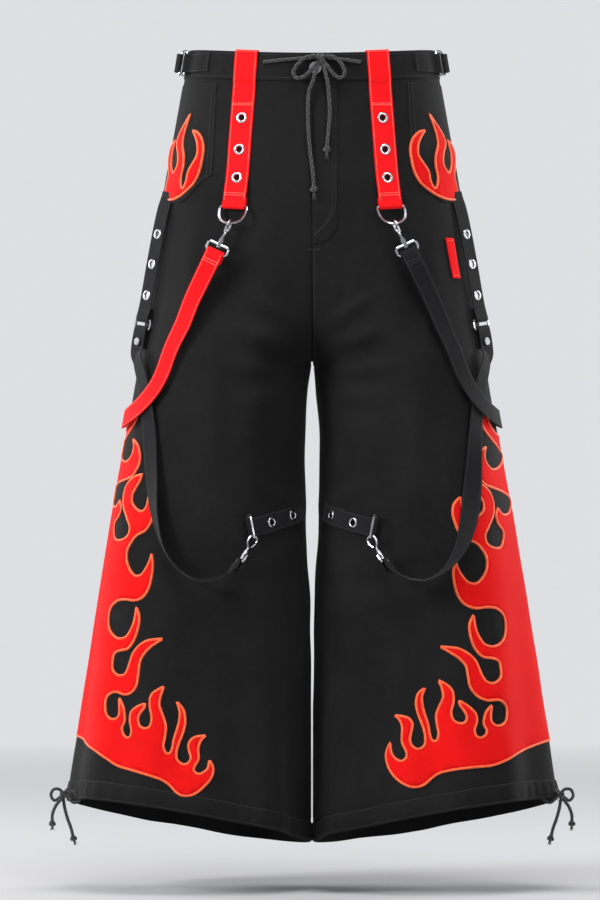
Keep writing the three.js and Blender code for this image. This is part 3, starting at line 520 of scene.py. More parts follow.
@dataclass(frozen=True)
class Satin:
    """Close satin stitch: shiny threads that lie side by side across a narrow border."""

    name: str
    colour: Colour
    shadow: Colour
    pitch: float = 0.0011

    def build(self) -> bpy.types.Material:
        """Makes the material."""
        g = Graph(self.name)
        _, along = g.uv()
        thread = (along * (2 * math.pi / self.pitch)).sine() * 0.5 + 0.5
        shade = thread * 0.5 + g.ramp(g.noise(160, 2), 0.3, 0.7) * 0.5
        return g.finish(
            Base_Color=g.blend(shade, self.shadow, self.colour),
            Roughness=0.42 + 0.2 * g.noise(300, 2),
            Normal=g.bump(thread, 0.5, 0.0003),
            Specular_IOR_Level=0.4,
            Sheen_Weight=0.1,
        )


@dataclass(frozen=True)
class Thread:
    """Sewing thread."""

    name: str
    colour: Colour

    def build(self) -> bpy.types.Material:
        """Makes the material."""
        g = Graph(self.name)
        tone = g.ramp(g.noise(700, 2), 0.2, 0.8)
        dark = tuple(c * 0.7 for c in self.colour[:3]) + (1.0,)
        return g.finish(Base_Color=g.blend(tone, dark, self.colour), Roughness=0.55 + 0.15 * tone)


@dataclass(frozen=True)
class Braid:
    """Braided cotton cord, with painted shade: darker in the grooves between the strands and lighter on them,
    plus some random tone.
    """

    name: str
    colour: Colour
    # pale: the painted light on the strand tops, and the lighter random tone.
    pale: Colour

    def build(self) -> bpy.types.Material:
        """Makes the material."""
        g = Graph(self.name)
        around, along = g.uv()
        one = (around * (2 * math.pi * 4) + along * (2 * math.pi / 0.009)).sine()
        two = (around * (2 * math.pi * 4) - along * (2 * math.pi / 0.009)).sine()
        plait = one.larger(two)
        # Painted shade: the plait share darkens the grooves between strands and lights the strand tops
        # towards the pale colour; the rest is random tone.
        tone_and_groove_shade = g.ramp(plait, -0.4, 1.0) * 0.7 + g.ramp(g.noise(500, 3), 0.3, 0.8) * 0.3
        return g.finish(
            Base_Color=g.blend(tone_and_groove_shade, self.colour, self.pale),
            Roughness=0.8 + 0.15 * g.noise(900, 2),
            Normal=g.bump(plait, 0.8, 0.0008),
            Sheen_Weight=0.3,
        )


@dataclass(frozen=True)
class Plate:
    """Plated metal with light handling marks."""

    name: str
    colour: Colour
    roughness: float

    def build(self) -> bpy.types.Material:
        """Makes the material."""
        g = Graph(self.name)
        smudge = g.ramp(g.noise(90, 4), 0.35, 0.7)
        dull = tuple(c * 0.72 for c in self.colour[:3]) + (1.0,)
        return g.finish(
            Base_Color=g.blend(smudge, self.colour, dull),
            Metallic=1.0,
            Roughness=self.roughness + 0.16 * smudge,
            Normal=g.bump(g.noise(420, 3), 0.12, 0.0004),
        )


@dataclass(frozen=True)
class Studio:
    """Plain studio paint of the floor, which melts into the sky far from the middle."""

    name: str
    colour: Colour
    sky: Colour

    def build(self) -> bpy.types.Material:
        """Makes the material."""
        g = Graph(self.name)
        place = g.node("ShaderNodeTexCoord")
        far = g.node("ShaderNodeVectorMath", {"operation": "LENGTH"}, {0: place.outputs["Object"]})
        fade = g.ramp(Value(g, far.outputs["Value"]), 1.7, 4.2)
        rough = 0.9 + 0.05 * g.noise(3, 2)
        paint = {"Base Color": self.colour, "Roughness": rough, "Specular IOR Level": 0.1}
        shader = g.node("ShaderNodeBsdfPrincipled", inputs=paint)
        glow = g.node("ShaderNodeEmission", inputs={"Color": self.sky, "Strength": 0.9})
        mixed = g.node("ShaderNodeMixShader", inputs={0: fade, 1: shader.outputs[0], 2: glow.outputs[0]})
        g.node("ShaderNodeOutputMaterial", inputs={0: mixed.outputs[0]})
        return g.material


class Palette:
    """Every finish of the trousers."""

    def __init__(self) -> None:
        self.black = Twill("black_twill", srgb(11, 11, 12), srgb(26, 26, 27), 0.03).build()
        self.webbing = Twill("black_webbing", srgb(15, 15, 17), srgb(30, 30, 32), 0.06, 0.0024).build()
        self.red = Twill("red_twill", srgb(226, 6, 14), srgb(240, 20, 26), 0.02).build()
        self.flame = Twill("flame_twill", srgb(214, 3, 5), srgb(230, 10, 11), 0.01).build()
        self.satin = Satin("satin_border", srgb(255, 116, 58), srgb(226, 62, 26)).build()
        self.coral = Thread("coral_thread", srgb(255, 132, 118)).build()
        self.thread = Thread("black_thread", srgb(50, 50, 53)).build()
        self.cord = Braid("cotton_cord", srgb(18, 18, 20), srgb(50, 50, 52)).build()
        self.nickel = Plate("nickel", srgb(205, 205, 209), 0.17).build()
        self.dark = Twill("inside_twill", srgb(12, 12, 13), srgb(20, 20, 21), 0.03).build()


# ---- Making meshes ---------------------------------------------------------------------------


def linked(name: str, data) -> bpy.types.Object:
    """A new object of the scene that shows some data."""
    obj = bpy.data.objects.new(name, data)
    bpy.context.scene.collection.objects.link(obj)
    return obj


def mesh_of(name: str, points, faces=()) -> bpy.types.Mesh:
    """A mesh from corner points in millimetres and the corner numbers of its faces."""
    mesh = bpy.data.meshes.new(name)
    mesh.from_pydata((np.asarray(points, float) * MM).tolist(), [], [list(map(int, f)) for f in faces])
    return mesh


def baked(obj: bpy.types.Object) -> bpy.types.Mesh:
    """A plain mesh of what an object shows with its modifiers."""
    shown = obj.evaluated_get(bpy.context.evaluated_depsgraph_get())
    return bpy.data.meshes.new_from_object(shown)


@dataclass(frozen=True)
class Hold:
    """What a piece moves with: one body, or two bodies and the points where the cloth passes from one to the
    other.
    """

    body: str = "root"
    other: Optional[str] = None
    start: tuple = ()
    end: tuple = ()

    @classmethod
    def between(cls, other: str, start: Array, end: Array) -> "Hold":
        """A hold that passes from the cloth to another body, from one point to the next, in millimetres."""
        return cls("root", other, tuple(start * MM), tuple(end * MM))

    def take(self, obj: bpy.types.Object) -> None:
        """Fastens a piece to its one body; a piece with two bodies only gets its place baked into its mesh.
        """
        if self.other is None:
            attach(obj, self.body)
        else:
            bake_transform(obj)


@dataclass
class Workshop:
    """Makes finished pieces and keeps count of them."""

    palette: Palette
    triangles: int = 0

    def piece(self, name: str, points, faces, material, hold: Hold, slot: str,
              uv=None, stands_for: Sequence[str] = ()) -> bpy.types.Object:
        """Makes one finished piece.

        Args:
            name: Its name.
            points: Corner points in millimetres.
            faces: Corner numbers of each face.
            material: Its finish.
            hold: What it moves with.
            slot: The record's material slot; not used.
            uv: Pattern place of each point, in metres.
            stands_for: CAD nodes that it is shown in place of.

        Returns:
            The new object.
        """
        obj = self.loose(name, points, faces, material, uv)
        return self.hand_over(obj, hold, slot, stands_for)

    @staticmethod
    def loose(name: str, points, faces, material, uv=None) -> bpy.types.Object:
        """Makes a smooth mesh object that isn't fastened to anything yet."""
        mesh = mesh_of(name, points, faces)
        mesh.polygons.foreach_set("use_smooth", [True] * len(mesh.polygons))
        if uv is not None:
            corners = np.empty(len(mesh.loops), int)
            mesh.loops.foreach_get("vertex_index", corners)
            layer = mesh.uv_layers.new(name="UVMap")
            layer.data.foreach_set("uv", np.asarray(uv, float)[corners].astype("f4").ravel())
        mesh.materials.append(material)
        mesh.validate()
        return linked(name, mesh)

    def hand_over(self, obj, hold: Hold, slot: str, stands_for: Sequence[str] = ()) -> bpy.types.Object:
        """Fastens a made object by its hold, hides the CAD nodes it stands for, and logs its triangles."""
        hold.take(obj)
        if stands_for:
            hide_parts(*stands_for)
        count = sum(len(p.vertices) - 2 for p in obj.data.polygons)
        self.triangles += count
        LOG.info("%s: %d triangles", obj.name, count)
        return obj

    def sheet(self, name: str, outer: Array, inner: Array, material, hold: Hold, slot: str,
              ring: bool = False, stands_for: Sequence[str] = ()):
        """Makes a sheet of cloth from a grid of outer points and a grid of inner points."""
        rows, columns = outer.shape[:2]
        points = np.concatenate([outer.reshape(-1, 3), inner.reshape(-1, 3)])
        offset = rows * columns
        j, i = np.meshgrid(np.arange(rows - 1), np.arange(columns if ring else columns - 1), indexing="ij")
        nxt = (i + 1) % columns
        a, b = j * columns + i, j * columns + nxt
        c, d = (j + 1) * columns + nxt, (j + 1) * columns + i
        quads = np.stack([a, b, c, d], -1).reshape(-1, 4)
        faces = [quads, quads[:, ::-1] + offset]
        rim = lambda e: np.stack([e[:-1], e[:-1] + offset, e[1:] + offset, e[1:]], -1)
        if ring:
            top = np.r_[np.arange(columns), 0]
            faces += [rim(top), rim((top + (rows - 1) * columns)[::-1])]
        else:
            top = np.arange(columns)
            right = np.arange(rows) * columns + columns - 1
            left = np.arange(rows) * columns
            edge = np.r_[top, right[1:], (top + (rows - 1) * columns)[::-1][1:], left[::-1][1:]]
            faces.append(rim(edge))
        faces = np.concatenate(faces)
        first = points[faces]
        volume = np.einsum("ij,ij->i", first[:, 0], np.cross(first[:, 1], first[:, 2])).sum()
        volume += np.einsum("ij,ij->i", first[:, 0], np.cross(first[:, 2], first[:, 3])).sum()
        if volume < 0:
            faces = faces[:, ::-1]
        step = np.linalg.norm(np.diff(outer, axis=1), axis=2)
        across = np.concatenate([np.zeros((rows, 1)), np.cumsum(step, axis=1)], axis=1)
        across -= across[:, -1:] / 2
        uv = np.stack([across * MM, -outer[..., 2] * MM], -1).reshape(-1, 2)
        return self.piece(name, points, faces, material, hold, slot, np.concatenate([uv, uv]), stands_for)

    def black_sheet(self, name: str, outer: Array, inner: Array, stands_for: str, ring: bool = False):
        """Makes a sheet of the black twill."""
        return self.sheet(name, outer, inner, self.palette.black, Hold(), "black_twill", ring, [stands_for])


# ---- Straps, cords and stitching -------------------------------------------------------------


class Ribbon:
    """A flat strap along a smooth route, with a place for everything sewn on it."""

    def __init__(self, points, widths, width: float, thickness: float = STRAP_CLOTH, steps: int = 150):
        t = np.linspace(0, 1, steps + 1)
        self.width, self.thickness = width, thickness
        self.centre = spline(points, t)
        ahead = unit(spline(points, np.clip(t + 1e-4, 0, 1)) - spline(points, np.clip(t - 1e-4, 0, 1)))
        self.face = unit(np.cross(ahead, spline(widths, t)))
        self.across = np.cross(self.face, ahead)
        self.ahead = ahead
        self.arc = arc_of(self.centre)

    @property
    def length(self) -> float:
        """Length of the strap in millimetres."""
        return float(self.arc[-1])

    def frame(self, s) -> tuple[Array, Array, Array, Array]:
        """Middle, ahead, across and face at distances along the strap."""
        turns = (unit(sample(s, self.arc, v)) for v in (self.ahead, self.across, self.face))
        return sample(s, self.arc, self.centre), *turns

    def at(self, s, across=0.0, lift=0.0) -> Array:
        """Point at a distance along the strap, across it and off its face."""
        middle, _, side, face = self.frame(s)
        across, lift = np.asarray(across, float)[..., None], np.asarray(lift, float)[..., None]
        return middle + side * across + face * lift

    def distance_to(self, point) -> float:
        """Distance along the strap of the place nearest to a point."""
        return float(self.arc[np.argmin(np.linalg.norm(self.centre - point, axis=1))])

    def mesh(self, start: float = 0.0, end: Optional[float] = None, step: float = 3.0):
        """Points, faces and pattern places of the strap between two distances along it."""
        end = self.length if end is None else end
        bends = self.arc[(self.arc > start) & (self.arc < end)]
        s = np.unique(np.round(np.r_[start, bends, np.arange(start, end, step), end], 2))
        w, h, soft = self.width / 2, self.thickness / 2, 0.55
        near, far = soft * 0.4, soft * 1.6
        section = [(-w, 0), (-w + near, h * 0.75), (-w + far, h), (-w / 2, h), (0, h), (w / 2, h),
                   (w - far, h), (w - near, h * 0.75), (w, 0), (w - soft, -h), (0, -h), (-w + soft, -h)]
        middle, _, side, face = self.frame(s)
        points = np.stack([middle + side * a + face * b for a, b in section], 1)
        n, m = len(s), len(section)
        uv = np.stack(np.broadcast_arrays([a * MM for a, _ in section], (s * MM)[:, None]), -1)
        faces = []
        for k in range(n - 1):
            for i in range(m):
                a, b = k * m + i, k * m + (i + 1) % m
                faces.append((a, a + m, b + m, b))
        faces.append(tuple(range(m)))
        faces.append(tuple(range(n * m - 1, (n - 1) * m - 1, -1)))
        return points.reshape(-1, 3), faces, uv.reshape(-1, 2)


def round_bar(bar: Array, ahead: Array, face: Array, tail: float = 0.0) -> list[Array]:
    """Points of a strap round a bar: from the face side, past the end ahead, to the back."""
    turn = [bar + face * FOLD_RADIUS * cosd(a) + ahead * FOLD_RADIUS * sind(a) for a in (0, 45, 90, 135, 180)]
    return turn + ([turn[-1] - ahead * tail] if tail else [])


@dataclass
class Marks:
    """Places of small repeated things: each a point, a direction ahead and a direction out."""

    points: list = field(default_factory=list)
    ahead: list = field(default_factory=list)
    out: list = field(default_factory=list)

    def add(self, points: Array, ahead: Array, out: Array) -> None:
        """Adds places."""
        self.points += list(np.asarray(points).reshape(-1, 3))
        self.ahead += list(np.asarray(ahead).reshape(-1, 3))
        self.out += list(np.asarray(out).reshape(-1, 3))

    def along(self, line: Array, out: Array, pitch: float) -> None:
        """Adds places at even distances along a line of points."""
        arc = arc_of(line)
        s = np.arange(pitch / 2, arc[-1], pitch)
        ahead = unit(np.gradient(line, axis=0))
        self.add(sample(s, arc, line), unit(sample(s, arc, ahead)), unit(sample(s, arc, out)))

    def on_ribbon(self, ribbon: Ribbon, start: float, end: float, across: float, lift: float = 0.0,
                  pitch: float = 3.4) -> None:
        """Adds a row of places along a strap."""
        s = np.arange(start, end, pitch)
        _, ahead, _, face = ribbon.frame(s)
        self.add(ribbon.at(s, across, ribbon.thickness / 2 + lift), ahead, face)

    def across_ribbon(self, ribbon: Ribbon, s: float, margin: float = 2.4, pitch: float = 3.2) -> None:
        """Adds a row of places across a strap."""
        across = np.arange(-ribbon.width / 2 + margin, ribbon.width / 2 - margin + 0.1, pitch)
        where = np.full(len(across), s)
        _, _, side, face = ribbon.frame(where)
        self.add(ribbon.at(where, across, ribbon.thickness / 2), side, face)


class Repeats:
    """Geometry Nodes trees that set one small thing on every mark."""

    def __init__(self, shop: Workshop) -> None:
        self.shop = shop
        self.stitch_tree = self._tree("stitches", self._stitch)
        self.eyelet_tree = self._tree("eyelets", self._eyelet)
        self.tooth_tree = self._tree("zip_teeth", self._tooth)

    def _tree(self, name: str, thing: Callable):
        """A tree that takes Places, Length, Thickness and Finish, and sets a thing on every place."""
        tree = bpy.data.node_groups.new(name, "GeometryNodeTree")
        for word, kind in (("Places", "Geometry"), ("Length", "Float"), ("Thickness", "Float"),
                           ("Finish", "Material")):
            tree.interface.new_socket(word, in_out="INPUT", socket_type="NodeSocket" + kind)
        tree.interface.new_socket("Result", in_out="OUTPUT", socket_type="NodeSocketGeometry")
        node = partial(new_node, tree)
        start = node("NodeGroupInput").outputs
        ahead, out = (
            node("GeometryNodeInputNamedAttribute", {"data_type": "FLOAT_VECTOR"}, {"Name": word})
            for word in ("ahead", "out")
        )
        axes = {"Primary Axis": ahead.outputs["Attribute"], "Secondary Axis": out.outputs["Attribute"]}
        turn = node("FunctionNodeAxesToRotation", {"primary_axis": "X", "secondary_axis": "Z"}, axes)
        spots = {"Points": start["Places"], "Instance": thing(node, start), "Rotation": turn.outputs[0]}
        place = node("GeometryNodeInstanceOnPoints", inputs=spots)
        real = node("GeometryNodeRealizeInstances", inputs={0: place.outputs[0]})
        painted = {"Geometry": real.outputs[0], "Material": start["Finish"]}
        paint = node("GeometryNodeSetMaterial", inputs=painted)
        node("NodeGroupOutput", inputs={0: paint.outputs[0]})
        return tree

    @staticmethod
    def _times(node: Callable, value, factor: float):
        """A number socket times a factor."""
        return node("ShaderNodeMath", {"operation": "MULTIPLY"}, {0: value, 1: factor}).outputs[0]

    def _scaled(self, node: Callable, start, thing):
        """A thing of size one, stretched to the Length and the Thickness."""
        thick = start["Thickness"]
        size = node("ShaderNodeCombineXYZ", inputs={
            0: start["Length"], 1: thick, 2: self._times(node, thick, 0.9)})
        scaled = {"Geometry": thing.outputs[0], "Scale": size.outputs[0]}
        return node("GeometryNodeTransform", inputs=scaled).outputs[0]

    def _stitch(self, node: Callable, start):
        """A stitch, as a small ball."""
        ball = node("GeometryNodeMeshUVSphere", inputs={"Segments": 6, "Rings": 4, "Radius": 0.5})
        return self._scaled(node, start, ball)

    def _tooth(self, node: Callable, start):
        """A zip tooth, as a small block."""
        return self._scaled(node, start, node("GeometryNodeMeshCube", inputs={"Size": (1, 1, 1)}))

    def _eyelet(self, node: Callable, start):
        """An eyelet's rolled ring."""
        ring, wire = (
            node("GeometryNodeCurvePrimitiveCircle", inputs={
                "Resolution": sides, "Radius": self._times(node, start["Length"], share)})
            for sides, share in ((28, 0.385), (10, 0.115))
        )
        sweep = node("GeometryNodeCurveToMesh", inputs={0: ring.outputs[0], 1: wire.outputs[0]})
        flat = {"Scale": (1, 1, 0.75), "Geometry": sweep.outputs[0]}
        return node("GeometryNodeTransform", inputs=flat).outputs[0]

    def make(self, name: str, tree, marks: Marks, length: float, thickness: float, material, hold: Hold,
             slot: str) -> Optional[bpy.types.Object]:
        """Makes one plain mesh with a small thing on every mark.

        Args:
            name: The piece's name.
            tree: One of this class's trees.
            marks: Where the things go.
            length: Their length in millimetres.
            thickness: Their thickness in millimetres.
            material: Their finish.
            hold: What they move with.
            slot: The record's material slot; not used.

        Returns:
            The new object, or None without marks.
        """
        if not marks.points:
            return None
        mesh = mesh_of(name + "_places", marks.points)
        for word, values in (("ahead", marks.ahead), ("out", marks.out)):
            layer = mesh.attributes.new(word, "FLOAT_VECTOR", "POINT")
            layer.data.foreach_set("vector", np.array(values, "f4").ravel())
        source = linked(name + "_places", mesh)
        modifier = source.modifiers.new("Repeat", "NODES")
        modifier.node_group = tree
        known = {item.name: item.identifier for item in tree.interface.items_tree if item.in_out == "INPUT"}
        modifier[known["Length"]] = length * MM
        modifier[known["Thickness"]] = thickness * MM
        modifier[known["Finish"]] = material
        made = baked(source)
        made.name = name
        source.modifiers.remove(modifier)
        bpy.data.objects.remove(source)
        bpy.data.meshes.remove(mesh)
        if not made.materials:
            made.materials.append(material)
        made.polygons.foreach_set("use_smooth", [True] * len(made.polygons))
        return self.shop.hand_over(linked(name, made), hold, slot)

    def stitches(self, name: str, marks: Marks, material, hold: Hold = Hold(), slot: str = "black_twill",
                 length: float = 2.7, thickness: float = 0.75):
        """Makes a piece of stitching."""
        return self.make(name, self.stitch_tree, marks, length, thickness, material, hold, slot)

    def eyelets(self, name: str, marks: Marks, hold: Hold = Hold(), across: float = 14.0):
        """Makes a piece of eyelets."""
        return self.make(name, self.eyelet_tree, marks, across, 1.0, self.shop.palette.nickel, hold, "nickel")


# ---- Cloth ------------------------------------------------------------------------------------


@dataclass
class ClothPanels:
    """The trousers' own cloth: panels, waistband, hem bands, fly and pockets."""

    shop: Workshop
    repeats: Repeats
    columns: int = 104
    rows: int = 210
    tuck: float = 4.0

    def build(self) -> None:
        """Makes every piece of cloth that is cut from the black twill."""
        for side in Side:
            for is_back in (False, True):
                self.panel(side, is_back)
            self.hem_band(side)
            self.front_pocket(side)
            self.back_pocket(side)
        self.waistband()
        self.fly()
        self.seams()

    def panel(self, side: Side, is_back: bool) -> None:
        """Makes one leg panel, from the waistband to the hem band."""
        u, v = np.meshgrid(np.linspace(0, 1, self.columns + 1), np.linspace(0, 1, self.rows + 1))
        turn = (lambda a: 360 - a) if is_back else (lambda a: a)
        angle = np.full(u.shape, 90.0)
        for _ in range(8):
            top = waist_top(turn(angle)) + WAISTBAND_HEIGHT - self.tuck
            bottom = hem_edge(turn(angle)) - HEM_BAND_HEIGHT + self.tuck
            drop = mix(top, bottom, v)
            angle = mix(SHAPE.inner_angle(drop), 179.99, u)
        outer = SHAPE.at(side.value, turn(angle), drop)
        inner = SHAPE.at(side.value, turn(angle), drop, -CLOTH)
        word = "back" if is_back else "front"
        name = f"{word}_cloth_{side.word}"
        made = self.shop.black_sheet(name, outer, inner, f"{word}_panel_{side.word}")

    def waistband(self) -> None:
        """Makes the waistband, slightly gathered by its drawstring at the front."""
        v = np.array([0, 0.012, 0.03, 0.07, 0.12, 0.25, 0.4, 0.55, 0.7, 0.83, 0.9, 0.95, 0.985, 1.0])
        bulge = np.array([-1.5, -0.5, 0, 0.1, -0.1, 0.35, 0.55, 0.55, 0.4, 0.1, -0.25, 0.1, 0, -0.9])
        angle = np.linspace(0, 360, 240, endpoint=False)
        a, v2 = np.meshgrid(angle, v)
        drop = waist_top(a) + v2 * WAISTBAND_HEIGHT
        x = SHAPE.plain(1, a, drop)[..., 0]
        gather = np.exp(-((x / 70) ** 2)) * (sind(a) > 0)
        pucker = gather * 0.45 * np.sin(x / 2.1 + 0.6 * np.sin(x / 7)) * np.sin(np.pi * v2)
        lift = WAISTBAND_RAISE + bulge[:, None] + pucker
        outer = SHAPE.at(1, a, drop, lift)
        inner = SHAPE.above(1, a, drop, -CLOTH + 0.4 * np.sin(np.pi * v2) ** 0.2 - 0.4)
        self.shop.black_sheet("waistband_cloth", outer, inner, "waistband", True)
        rows = Marks()
        for share in (0.1, 0.885):
            line = np.linspace(0, 360, 400)
            place = waist_top(line) + share * WAISTBAND_HEIGHT
            self.row(1, line, place, WAISTBAND_RAISE + 0.2, rows, 3.4)
        self.repeats.stitches("waistband_stitching", rows, self.shop.palette.thread)

    def hem_band(self, side: Side) -> None:
        """Makes the hem's drawstring tunnel, a little gathered along its cord."""
        v = np.array([0, 0.02, 0.06, 0.14, 0.3, 0.5, 0.7, 0.86, 0.94, 0.98, 1.0])
        angle = np.linspace(0, 360, 300, endpoint=False)
        a, v2 = np.meshgrid(angle, v)
        drop = hem_edge(a) - (1 - v2) * HEM_BAND_HEIGHT
        rounding = -2.2 * (np.abs(2 * v2 - 1) ** 12)
        pucker = 0.55 * np.sin(np.radians(a) * 46 + 2.2 * np.sin(np.radians(a) * 7)) * np.sin(np.pi * v2)
        lift = 1.1 + rounding + 1.0 * np.sin(np.pi * v2) + pucker
        outer = SHAPE.at(side.value, a, drop, lift)
        inner = SHAPE.at(side.value, a, drop, -2.6)
        self.shop.black_sheet(f"hem_tunnel_{side.word}", outer, inner, f"hem_band_{side.word}", True)
        rows = Marks()
        line = np.linspace(0, 360, 600)
        for share in (0.08, 0.9):
            place = hem_edge(line) - (1 - share) * HEM_BAND_HEIGHT
            self.row(side.value, line, place, 1.4, rows, 3.4)
        self.repeats.stitches(f"hem_stitching_{side.word}", rows, self.shop.palette.thread)

    def patch(self, name: str, side: Side, angle: Array, drop: Array, lift: float, stands_for: str) -> None:
        """Makes a flat patch that lies on the cloth."""
        rim = np.zeros(angle.shape)
        rim[0], rim[-1], rim[:, 0], rim[:, -1] = -0.5, -0.5, -0.5, -0.5
        outer = SHAPE.at(side.value, angle, drop, lift + 1.0 + rim)
        inner = SHAPE.at(side.value, angle, drop, lift - 0.1)
        self.shop.black_sheet(name, outer, inner, stands_for)

    @staticmethod
    def row(sign: int, angle, drop, lift: float, marks: Marks, pitch: float = 3.3) -> None:
        """Adds a row of stitches along a path of angles and drops."""
        marks.along(SHAPE.at(sign, angle, drop, lift), SHAPE.outward(sign, angle, drop), pitch)

    def front_pocket(self, side: Side) -> None:
        """Makes a front pocket's patch with its rounded lower corner."""
        u, v = np.meshgrid(np.linspace(0, 1, 31), np.linspace(0, 1, 61))

        def spot(u, v):
            edge = np.clip(u / 0.45, 0, 1)
            low = 205 - 34 * (1 - edge * edge * (3 - 2 * edge))
            drop = mix(waist_top(110) + WAISTBAND_HEIGHT + 0.6, low, v)
            return mix(SHAPE.front_angle(125 + 6 * v, drop), 177, u), drop

        angle, drop = spot(u, v)
        self.patch(f"pocket_patch_{side.word}", side, angle, drop, 0.2, f"front_pocket_{side.word}")
        marks = Marks()
        for inset in (0.02, 0.075):
            corner = np.linspace(inset, 1, 60), np.full(60, 1 - inset * 0.45)
            for path in ((np.full(60, inset), np.linspace(0, 1, 60)), corner):
                self.row(side.value, *spot(*path), 1.3, marks)
        self.repeats.stitches(f"pocket_stitching_{side.word}", marks, self.shop.palette.thread)

    def back_pocket(self, side: Side) -> None:
        """Makes a back pocket with a shallow point."""
        u, v = np.meshgrid(np.linspace(0, 1, 31), np.linspace(0, 1, 41))

        def spot(u, v):
            drop = mix(110, 250, v) + 10 * (1 - np.abs(2 * u - 1)) * v
            return 360 - SHAPE.front_angle(mix(48, 168, u), drop), drop

        angle, drop = spot(u, v)
        self.patch(f"seat_pocket_{side.word}", side, angle, drop, 0.2, f"back_pocket_{side.word}")
        marks = Marks()
        t = np.linspace(0, 1, 60)
        for inset in (0.025, 0.07):
            far = np.full(60, 1 - inset)
            for path in ((np.full(60, inset), t), (far, t), (t, far)):
                self.row(side.value, *spot(*path), 1.3, marks)
        self.row(side.value, *spot(t, np.full(60, 0.12)), 1.3, marks)
        self.repeats.stitches(f"seat_pocket_stitching_{side.word}", marks, self.shop.palette.thread)

    def fly(self) -> None:
        """Makes the fly flap, its curved stitching, and the zip behind it."""
        u, v = np.meshgrid(np.linspace(0, 1, 15), np.linspace(0, 1, 61))
        drop = mix(WAISTBAND_HEIGHT + FRONT_DIP + 0.6, 262 - 22 * u**3, v)
        angle = SHAPE.front_angle(mix(0.2, 34, u), drop)
        self.patch("fly_cloth", Side.LEFT, angle, drop, 0.0, "fly_flap")
        marks = Marks()
        for x in (31.0, 27.0):
            t = np.linspace(0, 1, 90)
            turn = np.clip((t - 0.72) / 0.28, 0, 1)
            line = mix(x, 1.5, turn**1.7), mix(58, 250, 1 - (1 - t) ** 1.15)
            self.row(1, SHAPE.front_angle(*line), line[1], 1.2, marks)
        bar = np.linspace(-6, 12, 20)
        for drop_at in (268.0, 269.2):
            for side in Side:
                x = bar[bar * side.value >= 0] * side.value
                place = np.full(len(x), drop_at)
                self.row(side.value, SHAPE.front_angle(x, place), place, 0.5, marks)
        self.repeats.stitches("fly_stitching", marks, self.shop.palette.thread)
        self.zip()

    def zip(self) -> None:
        """Makes the zip's tape in two halves and its rows of teeth."""
        behind = -CLOTH - 1.35
        palette = self.shop.palette
        teeth = Marks()
        for side in Side:
            u, v = np.meshgrid(np.linspace(0, 1, 5), np.linspace(0, 1, 41))
            drop = mix(48, 232, v)
            angle = SHAPE.front_angle(mix(4.7, 13, u), drop)
            outer = SHAPE.above(side.value, angle, drop, behind)
            inner = SHAPE.above(side.value, angle, drop, behind - 1.1)
            stands = ["zip_tape"] if side is Side.LEFT else []
            name = f"zip_half_{side.word}"
            self.shop.sheet(name, outer, inner, palette.webbing, Hold(), "zip_tape", stands_for=stands)
            place = np.arange(84.0, 230, 3.0) + (1.5 if side is Side.LEFT else 0)
            x = np.full(len(place), 1.6)
            points = SHAPE.above(side.value, SHAPE.front_angle(x, place), place, -CLOTH - 1.0)
            teeth.add(points, np.tile([1.0, 0, 0], (len(place), 1)), np.tile([0, -1.0, 0], (len(place), 1)))
        tree = self.repeats.tooth_tree
        self.repeats.make("zip_teeth", tree, teeth, 4.4, 0.9, palette.nickel, Hold(), "nickel")

    def seams(self) -> None:
        """Sews the long seams."""
        marks = Marks()
        for side in Side:
            drop = np.linspace(46, HEM_DROP - 26, 400)
            for angle, path in ((177.4, drop[60:]), (182.6, drop)):
                self.row(side.value, np.full(len(path), angle), path, 0.2, marks)
            low = np.linspace(RISE + 4, HEM_DROP - 4, 260)
            self.row(side.value, np.full(260, 358.0), low, 0.2, marks)
            seat = np.linspace(46, RISE - 6, 150)
            self.row(side.value, 360 - SHAPE.front_angle(2.6, seat), seat, 0.3, marks)
        front = np.linspace(270, RISE - 4, 60)
        self.row(1, SHAPE.front_angle(2.6, front), front, 0.3, marks)
        self.repeats.stitches("long_seams", marks, self.shop.palette.thread)


# ---- Flames -----------------------------------------------------------------------------------

